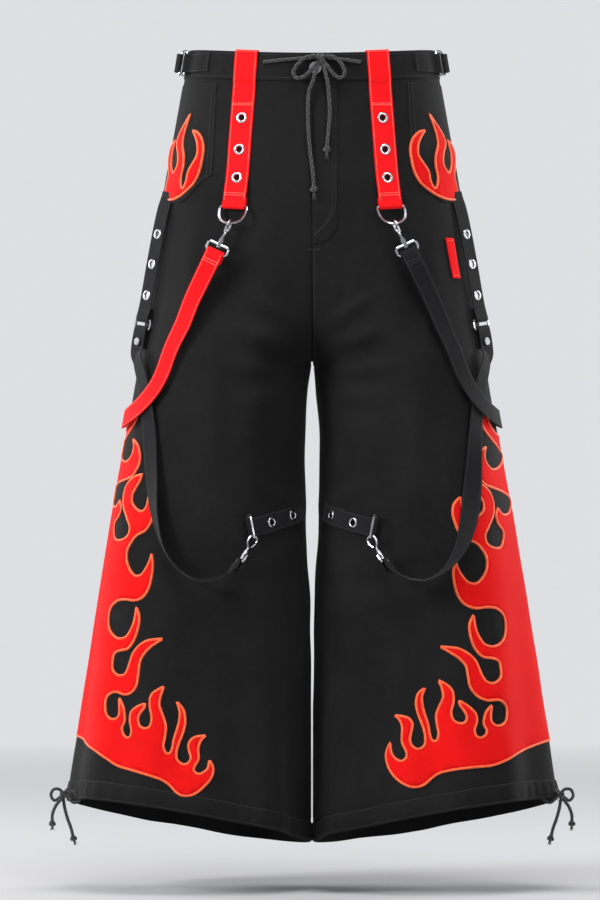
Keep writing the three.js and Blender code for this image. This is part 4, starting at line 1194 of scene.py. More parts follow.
# Each run goes from one sharp tip to the next, in (x, drop).
LEG_FLAME = (
    ((252, 517), (243, 510), (235, 499), (230, 487), (224, 479)),
    ((224, 479), (222, 489), (225, 502), (235, 516), (245, 527), (252, 538), (252, 548), (248, 555),
     (239, 558), (233, 555), (228, 548), (226, 538), (228, 528)),
    ((228, 528), (220, 535), (215, 546), (214, 557), (218, 567), (226, 577), (239, 582), (252, 586),
     (261, 593), (264, 605), (260, 617), (252, 617), (245, 609)),
    ((245, 609), (242, 618), (245, 629), (253, 639), (253, 652), (248, 661), (237, 661), (228, 655),
     (226, 644), (231, 633), (238, 616), (238, 601), (233, 588), (222, 578), (209, 574)),
    ((209, 574), (212, 582), (218, 591), (224, 601), (224, 612), (218, 619), (209, 623), (201, 618),
     (195, 594)),
    ((195, 594), (187, 603), (185, 614), (188, 627), (193, 639), (201, 648), (214, 654), (222, 663),
     (228, 675), (228, 690), (222, 702), (214, 708), (205, 706), (197, 697), (191, 686), (189, 678)),
    ((189, 678), (186, 690), (187, 707), (192, 724), (201, 735), (214, 740), (228, 739), (241, 741),
     (251, 750), (254, 762), (252, 779), (243, 789), (235, 791), (226, 788), (219, 779), (214, 767),
     (211, 749)),
    ((211, 749), (206, 762), (208, 779), (214, 794), (224, 804), (235, 806), (243, 810), (246, 822),
     (245, 832), (237, 839), (228, 837), (222, 828), (218, 818), (214, 809), (205, 800), (192, 793),
     (180, 791), (168, 790)),
    ((168, 790), (180, 797), (192, 805), (201, 815), (204, 828), (207, 843), (216, 855), (228, 861),
     (243, 861), (252, 868), (254, 881), (251, 891), (243, 895), (237, 893), (233, 887), (233, 879),
     (234, 868)),
    ((234, 868), (228, 875), (225, 883), (224, 892), (228, 900), (226, 907), (220, 910), (214, 907),
     (212, 898), (215, 890), (214, 879), (207, 871), (199, 865), (192, 861)),
    ((192, 861), (193, 866), (199, 875), (202, 883), (199, 890), (190, 890), (184, 885), (182, 875),
     (185, 862), (184, 849), (178, 841), (166, 834)),
    ((166, 834), (170, 843), (172, 856), (167, 868), (163, 879), (164, 892), (166, 904), (163, 913),
     (158, 913), (154, 904), (152, 892), (147, 877), (144, 864), (144, 854), (148, 844)),
    ((148, 844), (139, 851), (136, 864), (139, 879), (145, 894), (148, 907), (147, 919), (139, 924),
     (132, 921), (128, 913), (130, 900), (131, 890), (125, 883), (108, 880)),
    ((108, 880), (114, 885), (118, 894), (118, 915), (123, 926), (124, 934), (118, 940), (110, 937),
     (104, 930), (102, 916)),
    ((102, 916), (97, 926), (96, 936), (100, 949), (108, 960), (118, 968), (129, 973), (139, 973),
     (148, 969), (156, 962), (167, 955), (184, 951), (209, 948), (235, 946), (252, 940), (269, 932),
     (290, 925), (313, 917)),
)
POCKET_FLAME = (
    ((154, 88), (161, 98), (172, 115), (175, 126), (172, 140), (172, 154), (176, 162), (179, 165),
     (182, 160), (183, 148), (182, 137), (178, 121)),
    ((178, 121), (183, 126), (188, 137), (188, 154), (187, 168), (191, 185), (192, 200)),
    ((192, 200), (178, 200), (164, 195), (150, 186), (141, 178), (134, 165), (130, 148), (129, 132),
     (133, 120), (141, 112), (148, 110)),
    ((148, 110), (143, 118), (139, 129), (139, 143), (146, 154), (153, 165), (155, 176), (161, 187),
     (164, 183), (165, 171), (162, 157), (162, 143), (165, 129), (164, 118), (160, 104), (154, 88)),
)


@dataclass
class Flames:
    """Red flame appliques, each edged with satin stitch."""

    shop: Workshop
    turn_size: float = 140 * math.pi / 180
    grid: float = 7.0
    cloth: float = 0.9
    border: float = 4.0
    border_rise: float = 1.0

    def build(self) -> None:
        """Makes the leg and pocket flames of both sides."""
        for side in Side:
            front = self.turned(side, self.smooth_runs(LEG_FLAME), 0.8, 5.0)
            flat = self.flatten(front)
            flat[0, 0], flat[-1, 0] = 0.0, 0.0
            whole = np.concatenate([flat, (flat * [-1, 1])[::-1][1:-1]])
            self.applique(f"leg_flames_{side.word}", side, whole, 0.15, [f"flame_panel_{side.word}"])
            pocket = self.flatten(self.turned(side, self.smooth_runs(POCKET_FLAME), 0.76, 0.0))[:-1]
            self.applique(f"pocket_flames_{side.word}", side, pocket, 1.25, [])

    @staticmethod
    def turned(side: Side, outline: Array, squeeze: float, extra: float) -> Array:
        """The outline as the right leg shows it, which is turned a little further out than the left."""
        if side is Side.LEFT:
            return outline
        x, drop = outline.T
        edge = SHAPE.outer(drop)
        inward = edge - x
        near = np.clip((inward - 70) / 110, 0, 1) * np.clip((drop - 800) / 40, 0, 1)
        near *= 1 - 0.68 * np.clip((drop - 895) / 65, 0, 1)
        squeeze = squeeze + 0.07 * np.clip((inward - 100) / 100, 0, 1)
        low = np.clip((drop - 450) / 60, 0, 1)
        moved = edge - squeeze * inward + extra * (1 - np.exp(-np.maximum(inward, 0) / 20))
        shifted = drop - 10 * low * (1 - np.clip((drop - 880) / 80, 0, 1)) + 36 * near
        return np.stack([moved, shifted], 1)

    def smooth_runs(self, runs) -> Array:
        """Smooth outline through runs that meet at sharp tips."""
        pieces = []
        for run in runs:
            arc = arc_of(np.array(run, float))[-1]
            pieces.append(spline(run, np.linspace(0, 1, max(3, int(arc / 3.0))))[:-1])
        return np.concatenate([*pieces, [runs[-1][-1]]])

    def flatten(self, outline: Array) -> Array:
        """Turns (x, drop) seen from the front into flat (round, drop) places on the leg."""
        x = np.minimum(outline[:, 0], SHAPE.outer(outline[:, 1]) - 0.35)
        angle = SHAPE.front_angle(x, outline[:, 1])
        return np.stack([(180 - angle) * self.turn_size, outline[:, 1]], 1)

    def on_leg(self, side: Side, flat: Array, lift) -> Array:
        """Place on the leg of flat points."""
        angle = 180 - flat[:, 0] / self.turn_size
        return SHAPE.at(side.value, angle, flat[:, 1], np.broadcast_to(lift, len(flat)))

    @staticmethod
    def inside(points: Array, outline: Array) -> Array:
        """Which points lie inside a closed outline."""
        a, b = outline, np.roll(outline, -1, axis=0)
        result = np.zeros(len(points), bool)
        for (ax, ay), (bx, by) in zip(a, b):
            if ay == by:
                continue
            crosses = (ay > points[:, 1]) != (by > points[:, 1])
            result ^= crosses & (points[:, 0] < (bx - ax) * (points[:, 1] - ay) / (by - ay) + ax)
        return result

    def applique(self, name: str, side: Side, outline: Array, lift: float, stands_for: Sequence[str]) -> None:
        """Makes one applique and its border."""
        lo, hi = outline.min(0), outline.max(0)
        gx, gy = np.meshgrid(np.arange(lo[0] + 3, hi[0], self.grid), np.arange(lo[1] + 3, hi[1], self.grid))
        inner = np.stack([gx.ravel() + (gy.ravel() // self.grid % 2) * self.grid / 2, gy.ravel()], 1)
        inner = inner[self.inside(inner, outline)]
        near = np.array([np.min(np.sum((outline - p) ** 2, axis=1)) for p in inner])
        inner = inner[near > 6.0]
        n = len(outline)
        edges = [(i, (i + 1) % n) for i in range(n)]
        flat = [Vector(p) for p in np.concatenate([outline, inner])]
        spots, _, faces = delaunay_2d_cdt(flat, edges, [], 0, 1e-4)[:3]
        spots = np.array([(v.x, v.y) for v in spots])
        faces = np.array([f for f in faces if len(f) == 3])
        faces = faces[self.inside(spots[faces].mean(axis=1), outline)]
        top = self.on_leg(side, spots, lift + self.cloth)
        low = self.on_leg(side, spots, lift)
        sides = np.concatenate([faces[:, [0, 1]], faces[:, [1, 2]], faces[:, [2, 0]]])
        known = {tuple(e) for e in sides.tolist()}
        rim = [(b, a, a + len(spots), b + len(spots)) for a, b in known if (b, a) not in known]
        middle = top[faces].mean(axis=1)
        normal = np.cross(top[faces[:, 1]] - top[faces[:, 0]], top[faces[:, 2]] - top[faces[:, 0]])
        out = middle - low[faces].mean(axis=1)
        every = faces.tolist() + (faces[:, ::-1] + len(spots)).tolist() + rim
        if np.einsum("ij,ij->i", normal, out).sum() < 0:
            every = [f[::-1] for f in every]
        uv = np.concatenate([spots, spots]) * MM
        self.shop.piece(name, np.concatenate([top, low]), every, self.shop.palette.flame, Hold(), "red_twill",
                        uv, stands_for)
        self.edge(f"{name}_border", side, outline, lift + self.cloth)

    def edge(self, name: str, side: Side, outline: Array, lift: float) -> None:
        """Makes the satin-stitch border along an outline."""
        closed = np.concatenate([outline, outline[:1]])
        arc = arc_of(closed)
        s = np.linspace(0, arc[-1], int(arc[-1] / 2.2), endpoint=False)
        flat = sample(s, arc, closed)
        points = self.on_leg(side, flat, lift - self.cloth)
        angle = 180 - flat[:, 0] / self.turn_size
        out = SHAPE.outward(side.value, angle, flat[:, 1])
        ahead = unit(np.roll(points, -1, axis=0) - np.roll(points, 1, axis=0))
        across = unit(np.cross(out, ahead))
        share = np.linspace(-1, 1, 7)
        width = self.border / 2
        rise = self.cloth * 0.4 + (self.cloth * 0.6 + self.border_rise) * np.sqrt(1 - share**2)
        rise[[0, -1]] = -0.2
        grid = points[:, None] + across[:, None] * (share * width)[:, None] + out[:, None] * rise[:, None]
        n, m = grid.shape[:2]
        faces = []
        for k in range(n):
            a, b = k * m, (k + 1) % n * m
            faces += [(a + i, a + i + 1, b + i + 1, b + i) for i in range(m - 1)]
            faces.append((a + m - 1, a, b, b + m - 1))
        along = arc_of(points) * MM
        uv = np.stack(np.broadcast_arrays(share * width * MM, along[:, None]), -1)
        grid = grid.reshape(-1, 3)
        first = grid[np.array(faces[3])]
        if np.dot(np.cross(first[1] - first[0], first[2] - first[0]), out[0]) < 0:
            faces = [f[::-1] for f in faces]
        self.shop.piece(name, grid, faces, self.shop.palette.satin, Hold(), "red_twill", uv.reshape(-1, 2))


# ---- Straps -----------------------------------------------------------------------------------


@dataclass(frozen=True)
class Spot:
    """A place on the front of a leg, with its directions."""

    angle: float
    face: Array
    ahead: Array
    across: Array

    @classmethod
    def on_front(cls, side: int, x: float, drop: float, slant: float) -> "Spot":
        """Makes a spot at a distance x from the middle, ahead down the leg with a slant."""
        angle = float(SHAPE.front_angle(x, drop))
        face = SHAPE.outward(side, angle, drop)
        low = SHAPE.plain(side, SHAPE.front_angle(x + slant, drop + 10), drop + 10)
        ahead = unit(low - SHAPE.plain(side, angle, drop))
        return cls(angle, face, ahead, unit(np.cross(face, ahead)))


@dataclass
class Straps:
    """Every strap and tab, with its eyelets and stitching."""

    shop: Workshop
    repeats: Repeats

    def build(self) -> None:
        """Makes the straps of both sides."""
        for side in Side:
            self.front(side)
            self.side_strip(side)
            self.knee_and_side_strap(side)
            self.waist_tab(side)
        self.fork_tape()
        self.side_tab()

    def strap(self, name: str, ribbon: Ribbon, material, hold: Hold, slot: str,
              stands_for: Sequence[str] = (), start: float = 0.0, end: Optional[float] = None,
              holes: Sequence[float] = ()):
        """Makes one strap, or a length of it, with punched holes where its eyelets go."""
        points, faces, uv = ribbon.mesh(start, end)
        if not holes:
            return self.shop.piece(name, points, faces, material, hold, slot, uv, stands_for)
        mesh_points, mesh_faces = [], []
        for s in holes:
            middle, ahead, across, face = (v[0] for v in ribbon.frame(np.array([s])))
            base = len(mesh_points)
            ring = [(math.cos(a), math.sin(a)) for a in np.linspace(0, 2 * math.pi, 20, endpoint=False)]
            for lift in (-4, 4):
                mesh_points += [middle + (ahead * c + across * d) * 3.9 + face * lift for c, d in ring]
            steps = [(base + i, base + (i + 1) % 20) for i in range(20)]
            mesh_faces += [(b, c, c + 20, b + 20) for b, c in steps]
            mesh_faces += [tuple(range(base + 19, base - 1, -1)), tuple(range(base + 20, base + 40))]
        punch = mesh_of(name + "_punch", mesh_points, mesh_faces)
        punch.validate()
        tool = linked(name + "_punch", punch)
        obj = self.shop.loose(name, points, faces, material, uv)
        cut = obj.modifiers.new("Holes", "BOOLEAN")
        cut.operation, cut.solver, cut.object = "DIFFERENCE", "EXACT", tool
        made = baked(obj)
        obj.modifiers.clear()
        plain, obj.data = obj.data, made
        made.name = name
        bpy.data.meshes.remove(plain)
        bpy.data.objects.remove(tool)
        bpy.data.meshes.remove(punch)
        return self.shop.hand_over(obj, hold, slot, stands_for)

    def sew(self, name: str, ribbon: Ribbon, span: tuple[float, float], inset: float,
            crossings: Sequence[float], thread=None, hold: Hold = Hold(), **style) -> None:
        """Sews a row along each edge of a strap over a span of it, and rows across it."""
        rows = Marks()
        for across in (inset - ribbon.width / 2, ribbon.width / 2 - inset):
            rows.on_ribbon(ribbon, *span, across)
        for s in crossings:
            rows.across_ribbon(ribbon, s)
        self.repeats.stitches(name, rows, thread or self.shop.palette.thread, hold, **style)

    def eyelet_marks(self, ribbon: Ribbon, places: Sequence[float]) -> Marks:
        """Marks for eyelets on the face of a strap."""
        marks = Marks()
        s = np.array(places, float)
        _, ahead, _, face = ribbon.frame(s)
        marks.add(ribbon.at(s, 0.0, ribbon.thickness / 2 + 0.15), ahead, face)
        return marks

    def front(self, side: Side) -> None:
        """Makes a belt strap with its eyelets and the hanging strap clipped to its ring."""
        sign, palette = side.value, self.shop.palette
        spot = Spot.on_front(sign, BELT_STRAP_END_X, BELT_STRAP_END_DROP, 0.8)
        bar = SHAPE.above(sign, spot.angle, BELT_STRAP_END_DROP, BAR_LIFT)
        at_x = lambda drop: mix(BELT_STRAP_TOP_X, BELT_STRAP_END_X, drop / BELT_STRAP_END_DROP)
        top = float(waist_top(SHAPE.front_angle(BELT_STRAP_TOP_X, 10)))
        place = lambda d, lift: SHAPE.at(sign, SHAPE.front_angle(at_x(d), d), d, lift)
        route = [(top + 13, -3.4), (top + 5, -3.3), (top + 0.6, -2.9), (top - 1.3, -0.8), (top - 1.2, 1.2),
                 (top + 1.2, 2.9), (top + 8, 3.0), (24, 3.0), (38, 2.9), (45, 2.6), (50, 1.6), (60, 1.25),
                 (80, 1.2), (105, 1.2), (130, 1.2), (152, 1.3), (172, 1.9), (190, 4.2), (204, 6.0)]
        points = [place(d, lift) for d, lift in route]
        points += round_bar(bar, spot.ahead, spot.face, 12)
        belt = Ribbon(points, [spot.across] * len(points), BELT_STRAP_WIDTH, steps=240)
        spots = [belt.distance_to(place(d, 2.0)) for d in (94, 137, 173)]
        self.strap(f"belt_strap_cloth_{side.word}", belt, palette.red, Hold(), "red_twill",
                   [f"belt_strap_{side.word}"], holes=spots)
        self.repeats.eyelets(f"belt_eyelets_{side.word}", self.eyelet_marks(belt, spots), across=15)
        span = belt.distance_to(points[5]), belt.distance_to(points[18])
        crossings = [belt.distance_to(place(d, 2.5)) for d in (7.0, 75.0, 77.5, 194.0, 197.0)]
        self.sew(f"belt_stitching_{side.word}", belt, span, 2.3, crossings, palette.coral,
                 slot="red_twill", thickness=1.0, length=3.0)
        self.hanging(side, spot, bar)

    def hanging(self, side: Side, spot: Spot, bar: Array) -> None:
        """Makes a hanging strap, which bends where it meets its clip."""
        sign, palette = side.value, self.shop.palette
        hang = spot.ahead * cosd(D_RING_TILT) + spot.face * sind(D_RING_TILT)
        low = bar + hang * D_RING_HEIGHT
        fall = unit(spot.ahead * cosd(22) + np.array([sign, 0, 0]) * sind(22))
        turned = unit(np.cross(spot.face, fall))
        loop_bar = low + fall * CLIP_LENGTH
        stations = np.array([(124, 338, 15), (125.5, 378, 12), (129, 424, 9.5), (139, 462, 9), (152, 482, 9),
                             (172, 492, 8), (196, 488, 6), (220, 462, 4.5), (234, 416, 3.6), (241, 360, 2.6),
                             (243, 312, 1.6)], float)
        fine = spline(stations, np.linspace(0, 1, 41))
        rest = SHAPE.at(sign, fine[:, 0], fine[:, 1], fine[:, 2])
        ahead = unit(np.gradient(rest, axis=0))
        flats = unit(np.cross(SHAPE.outward(sign, fine[:, 0], fine[:, 1]), ahead))
        if flats[0].dot(turned) < 0:
            flats = -flats
        fold = round_bar(loop_bar, -fall, spot.face)[::-1]
        points = [fold[0] + fall * 14, *fold, fold[-1] + fall * 16, *rest]
        widths = [turned] * (len(fold) + 2) + list(flats)
        ribbon = Ribbon(points, widths, WEBBING, steps=260)
        is_red = side is Side.RIGHT
        material, slot = (palette.red, "red_twill") if is_red else (palette.webbing, "black_twill")
        split = ribbon.distance_to(rest[16])
        soft = Hold.between(f"front_clip_{side.word}", ribbon.at(split - 70), loop_bar + fall * 8)
        self.strap(f"hanging_strap_front_{side.word}", ribbon, material, soft, slot,
                   [f"hanging_strap_{side.word}"], end=split)
        self.strap(f"hanging_strap_rear_{side.word}", ribbon, material, Hold(), slot, start=split)
        thread = palette.coral if is_red else palette.thread
        size = {"slot": slot, "thickness": 1.0 if is_red else 0.8, "length": 3.0}
        start, *crossings = (ribbon.distance_to(fold[-1] + fall * reach) for reach in (3, 12, 14))
        name = f"hanging_stitching_front_{side.word}"
        self.sew(name, ribbon, (start, split), 2.2, crossings, thread, soft, **size)
        name, end = f"hanging_stitching_rear_{side.word}", ribbon.length - 3
        self.sew(name, ribbon, (split, end), 2.2, (end, ribbon.length - 20), thread, **size)

    def side_frame(self, side: Side) -> tuple[Array, Array, Array, Array]:
        """Bar, ahead, face and across of a side ring."""
        sign, drop, angle = side.value, 360, 163
        normal = SHAPE.outward(sign, angle, drop)
        ahead = unit(SHAPE.plain(sign, angle, drop + 10) - SHAPE.plain(sign, angle, drop - 10))
        frontward = unit(np.cross(normal, ahead)) * -sign
        face = normal * cosd(20) + frontward * sind(20)
        return SHAPE.above(sign, angle, drop, 8.0), ahead, face, unit(np.cross(face, ahead))

    def side_strip(self, side: Side) -> None:
        """Makes the strip that holds a side ring, with three eyelets."""
        sign, palette = side.value, self.shop.palette
        bar, ahead, face, across = self.side_frame(side)
        route = [(190, 1.6), (198, 2.6), (212, 5.0), (240, 6.8), (281, 8.0), (344, 9.2)]
        points = [SHAPE.above(sign, 163, d, lift) for d, lift in route] + round_bar(bar, ahead, face, 16)
        strip = Ribbon(points, [across] * len(points), WEBBING, steps=180)
        spots = [strip.distance_to(SHAPE.above(sign, 163, d, 7.5)) for d in (246, 287, 328)]
        self.strap(f"side_strip_cloth_{side.word}", strip, palette.webbing, Hold(), "black_twill",
                   [f"side_strip_{side.word}"], holes=spots)
        self.repeats.eyelets(f"side_eyelets_{side.word}", self.eyelet_marks(strip, spots))
        end = strip.distance_to(bar + face * FOLD_RADIUS)
        self.sew(f"side_strip_stitching_{side.word}", strip, (4, end - 3), 2, (end - 12, 6))

    def knee_and_side_strap(self, side: Side) -> None:
        """Makes a knee tab, and the side strap that runs from the side ring to the knee clip."""
        sign, palette = side.value, self.shop.palette
        tab_drop, bar_x, bar_drop = KNEE_DROP - 29, 84, KNEE_DROP - 9
        first, last = float(SHAPE.front_angle(15, tab_drop)), float(SHAPE.front_angle(bar_x, bar_drop)) - 3
        share = np.linspace(0, 1, 7)
        plain_lift = GAP + FACET_SAG + STRAP_CLOTH / 2 + (STRAP_CLOTH + 2 * GAP) * share**2 * (3 - 2 * share)
        tab = SHAPE.above(sign, mix(first, last, share), mix(tab_drop, bar_drop, share), plain_lift)
        soft_lift = np.interp(share, [0, 0.5, 1], [1.1, 1.5, plain_lift[-1]])
        shown = SHAPE.at(sign, mix(first, last, share), mix(tab_drop, bar_drop, share), soft_lift)
        knee = Spot.on_front(sign, bar_x, bar_drop, 0)
        tab_ahead = unit(tab[6] - tab[4])
        knee_bar = SHAPE.above(sign, knee.angle, bar_drop, BAR_LIFT + 2 * GAP)
        across = unit(np.cross(knee.face, tab_ahead))
        face = unit(np.cross(tab_ahead, across))
        points = [*shown, *round_bar(knee_bar, tab_ahead, face, 9)]
        ribbon = Ribbon(points, [across] * len(points), WEBBING, steps=130)
        spots = [ribbon.distance_to(shown[0] + (shown[6] - shown[0]) * t) for t in (0.27, 0.72)]
        self.strap(f"knee_tab_cloth_{side.word}", ribbon, palette.webbing, Hold(), "black_twill",
                   [f"knee_tab_{side.word}"], holes=spots)
        self.repeats.eyelets(f"knee_eyelets_{side.word}", self.eyelet_marks(ribbon, spots))
        end = ribbon.distance_to(knee_bar + face * FOLD_RADIUS)
        self.sew(f"knee_tab_stitching_{side.word}", ribbon, (3, end - 3), 2, (4,))
        stand = tab_ahead * cosd(70) + face * sind(70)
        down = across * np.sign(-across[2])
        hang = knee_bar + stand * (KNEE_RING_HEIGHT - 3.4) + down * LOOP_WIDTH / 2
        fall = unit([sign * 0.5, -0.45, -0.8])
        turn = unit(stand - fall * stand.dot(fall)) * sign
        self.side_strap(side, hang + fall * CLIP_LENGTH, fall, turn)

    def side_strap(self, side: Side, loop_bar: Array, fall: Array, turn: Array) -> None:
        """Makes a side strap in two lengths, each with a hold that names its own ring."""
        sign, palette = side.value, self.shop.palette
        bar, ahead, face, across = self.side_frame(side)
        low_bar = bar + ahead * SIDE_RING_HEIGHT
        top = round_bar(low_bar, -ahead, face)[::-1]
        stations = np.array([(159, 414, 10, 0), (151, 437, 7.5, 0), (143, 467, 5.5, 0), (135, 510, 5, 0),
                             (127, 565, 7, 15), (119, 624, 11, 45), (110, 668, 15, 72), (100, 694, 19, 84),
                             (91.5, 704, 23, 85), (84.5, 702, 26.5, 85)], float)
        fine = spline(stations, np.linspace(0, 1, 37))
        middle = SHAPE.at(sign, fine[:, 0], fine[:, 1], fine[:, 2])
        forward = unit(np.gradient(middle, axis=0))
        normal = SHAPE.outward(sign, fine[:, 0], fine[:, 1])
        flat = unit(np.cross(normal, forward))
        widths = flat * cosd(fine[:, 3])[:, None] + normal * sind(fine[:, 3])[:, None]
        if widths[0].dot(across) < 0:
            widths = -widths
        for k in range(1, len(widths)):
            if widths[k].dot(widths[k - 1]) < 0:
                widths[k] = -widths[k]
        last = turn if turn.dot(widths[-1]) > 0 else -turn
        fold = round_bar(loop_bar, -fall, np.cross(turn, fall))
        points = [top[0] + ahead * 26, *top, top[4] + ahead * 30, *middle]
        points += [fold[0] + fall * 14, *fold, fold[4] + fall * 12]
        ribbon = Ribbon(points, [across] * 7 + list(widths) + [last] * 7, WEBBING, steps=300)
        split = ribbon.distance_to(middle[24])
        upper = Hold.between(f"side_ring_{side.word}", ribbon.at(split), low_bar + ahead * 24)
        lower = Hold.between(f"knee_clip_{side.word}", ribbon.at(split), loop_bar + fall * 6)
        name, finish = f"side_strap_upper_{side.word}", palette.webbing
        self.strap(name, ribbon, finish, upper, "black_twill", [f"side_strap_{side.word}"], end=split)
        self.strap(f"side_strap_lower_{side.word}", ribbon, finish, lower, "black_twill", start=split)
        start, crossing = (ribbon.distance_to(top[4] + ahead * reach) for reach in (3, 26))
        name = f"side_strap_stitching_upper_{side.word}"
        self.sew(name, ribbon, (start, split), 2, (crossing,), hold=upper)
        name = f"side_strap_stitching_lower_{side.word}"
        self.sew(name, ribbon, (split, ribbon.length - 26), 2, (ribbon.length - 28,), hold=lower)

    def waist_tab(self, side: Side) -> None:
        """Makes the tab that holds a slide buckle, and the adjuster strap behind it."""
        sign, palette = side.value, self.shop.palette
        start, end, drop, width = 144, 166, 19, 26
        normal = SHAPE.outward(sign, end, drop)
        bar = SHAPE.above(sign, end, drop, WAISTBAND_RAISE + BAR_LIFT)
        round_ = unit(SHAPE.plain(sign, end + 4, drop) - SHAPE.plain(sign, end - 4, drop))
        across = unit(np.cross(normal, round_))
        lift = WAISTBAND_RAISE + GAP + STRAP_CLOTH / 2
        shown = [SHAPE.above(sign, mix(start, end, t), drop, lift + 1.6 * t) for t in (0, 0.4, 0.8)]
        points = [*shown, *round_bar(bar, round_, normal, 7)]
        tab = Ribbon(points, [across] * len(points), width, steps=90)
        name = f"waist_tab_cloth_{side.word}"
        self.strap(name, tab, palette.black, Hold(), "black_twill", [f"waist_tab_{side.word}"])
        self.sew(f"waist_tab_stitching_{side.word}", tab, (2, tab.distance_to(points[3]) - 2), 2, (3,))
        lean = round_ * cosd(8) + normal * sind(8)
        far = bar + lean * 15
        fold = round_bar(far, -lean, normal)[::-1]
        stations = [(182, 4.4), (188, 3.2), (196, 2.6), (206, 2.6), (216, 2.6), (226, 2.2)]
        rest = [SHAPE.above(sign, a, drop, raised) for a, raised in stations]
        points = [fold[0] + lean * 9, *fold, fold[-1] + lean * 7, *rest]
        strap = Ribbon(points, [across] * len(points), 25, steps=150)
        hold = Hold.between(f"waist_buckle_{side.word}", rest[1], far + lean * 3)
        self.strap(f"adjuster_strap_{side.word}", strap, palette.black, hold, "black_twill")
        span = strap.distance_to(fold[-1]) + 3, strap.length - 2
        self.sew(f"adjuster_stitching_{side.word}", strap, span, 2.2, (strap.length - 4,), hold=hold)

    def fork_tape(self) -> None:
        """Makes the bound seam inside the fork, from the fly round to the back."""
        drops = np.concatenate([np.linspace(60, 400, 24), np.linspace(404, 415, 4)])
        front = [SHAPE.plain(1, float(SHAPE.inner_angle(d)), d) for d in drops]
        back = [SHAPE.plain(1, -float(SHAPE.inner_angle(d)), d) for d in drops[::-1][:-1]]
        path = np.array([*front, *back])
        inward = np.stack([np.zeros(len(path)), -np.sign(path[:, 1]), np.full(len(path), 0.0)], 1)
        path = (path + inward * 4.5) * [0, 1, 1] + np.array([0, 0, 2.0])
        tape = Ribbon(list(path), [np.array([1.0, 0, 0])] * len(path), 13, 1.0, steps=120)
        self.strap("fork_tape", tape, self.shop.palette.dark, Hold(), "black_twill")

    def side_tab(self) -> None:
        """Makes the small blank red tab in the left side seam."""
        u, v = np.meshgrid(np.linspace(0, 1, 9), np.linspace(0, 1, 31))
        angle, drop = mix(146, 152, u), mix(252, 305, v)
        lift = 0.9 + 1.6 * np.sin(np.pi * np.clip(u, 0, 1) * 0.5) * (0.6 + 0.4 * np.sin(3 * v))
        outer = SHAPE.at(1, angle, drop, lift + 1.1)
        inner = SHAPE.at(1, angle, drop, lift)
        red = self.shop.palette.red
        self.shop.sheet("red_tab", outer, inner, red, Hold(), "red_twill", stands_for=["red_side_tab"])
        rows = Marks()
        for share in (0.06, 0.94):
            line = np.linspace(0.1, 0.9, 12)
            a, d = mix(146, 152, line), np.full(12, mix(252, 305, share))
            rows.along(SHAPE.at(1, a, d, 2.1 + 1.3 * np.sin(np.pi * line * 0.5)), SHAPE.outward(1, a, d), 3.0)
        self.repeats.stitches("red_tab_stitching", rows, self.shop.palette.coral, slot="red_twill")


# ---- Cords ------------------------------------------------------------------------------------


def tube(path: Array, radius: float, sides: int = 16, relief: float = 0.05, taper: Optional[Array] = None):
    """Points, faces and pattern places of a braided tube along a dense path."""
    ahead = unit(np.gradient(path, axis=0))
    normal = np.empty_like(path)
    seed = np.array([0.0, 0.0, 1.0]) if abs(ahead[0][2]) < 0.9 else np.array([0.0, 1.0, 0.0])
    normal[0] = unit(np.cross(np.cross(ahead[0], seed), ahead[0]))
    for k in range(1, len(path)):
        turned = normal[k - 1] - ahead[k] * normal[k - 1].dot(ahead[k])
        normal[k] = unit(turned)
    other = np.cross(ahead, normal)
    arc = arc_of(path)
    around = np.linspace(0, 2 * np.pi, sides, endpoint=False)
    plait = np.maximum(np.sin(4 * around + arc[:, None] * 0.7), np.sin(4 * around - arc[:, None] * 0.7))
    size = radius * (1 + relief * plait) * (1 if taper is None else taper[:, None])
    spokes = normal[:, None] * np.cos(around)[:, None] + other[:, None] * np.sin(around)[:, None]
    points = path[:, None] + spokes * size[..., None]
    n = len(path)
    faces = []
    for k in range(n - 1):
        a = k * sides
        steps = [(a + i, a + (i + 1) % sides) for i in range(sides)]
        faces += [(b, c, c + sides, b + sides) for b, c in steps]
    faces += [tuple(range(sides - 1, -1, -1)), tuple(range((n - 1) * sides, n * sides))]
    uv = np.stack(np.broadcast_arrays(around / (2 * np.pi), arc[:, None] * MM), -1)
    return points.reshape(-1, 3), faces, uv.reshape(-1, 2)


@dataclass
class Bundle:
    """Several tubes that make one piece."""

    points: list = field(default_factory=list)
    faces: list = field(default_factory=list)
    uv: list = field(default_factory=list)

    def add(self, made) -> None:
        """Adds a tube."""
        points, faces, uv = made
        base = sum(len(p) for p in self.points)
        self.points.append(points)
        self.faces += [tuple(i + base for i in f) for f in faces]
        self.uv.append(uv)

    def knot(self, middle: Array, ahead: Array, size: float, radius: float) -> None:
        """Adds an overhand knot."""
        t = np.linspace(0, 2 * np.pi, 90)
        trefoil = [np.sin(t) + 2 * np.sin(2 * t), np.cos(t) - 2 * np.cos(2 * t), -np.sin(3 * t)]
        local = np.stack(trefoil, 1) * size
        up = unit(ahead)
        side = unit(np.cross(up, [0.0, -1.0, 0.2]))
        out = np.cross(side, up)
        path = middle + local[:, :1] * side + local[:, 1:2] * up * 0.85 + local[:, 2:] * out
        self.add(tube(path, radius, 12))

    def fringe(self, tip: Array, ahead: Array, count: int, length: float, seed: int) -> None:
        """Adds the loose threads of a frayed end."""
        random = np.random.default_rng(seed)
        up = unit(ahead)
        side = unit(np.cross(up, [0.0, -1.0, 0.2]))
        out = np.cross(side, up)
        for _ in range(count):
            a, spread = random.uniform(0, 2 * np.pi), random.uniform(0.1, 1)
            t = np.linspace(0, 1, 6)[:, None]
            sideways = side * math.cos(a) + out * math.sin(a)
            reach = length * random.uniform(0.7, 1.05)
            path = tip + sideways * (0.5 + spread * 0.8) + up * reach * t + sideways * spread * 2.2 * t**2
            self.add(tube(path, 0.42, 5, 0.0, 1 - 0.55 * t[:, 0]))


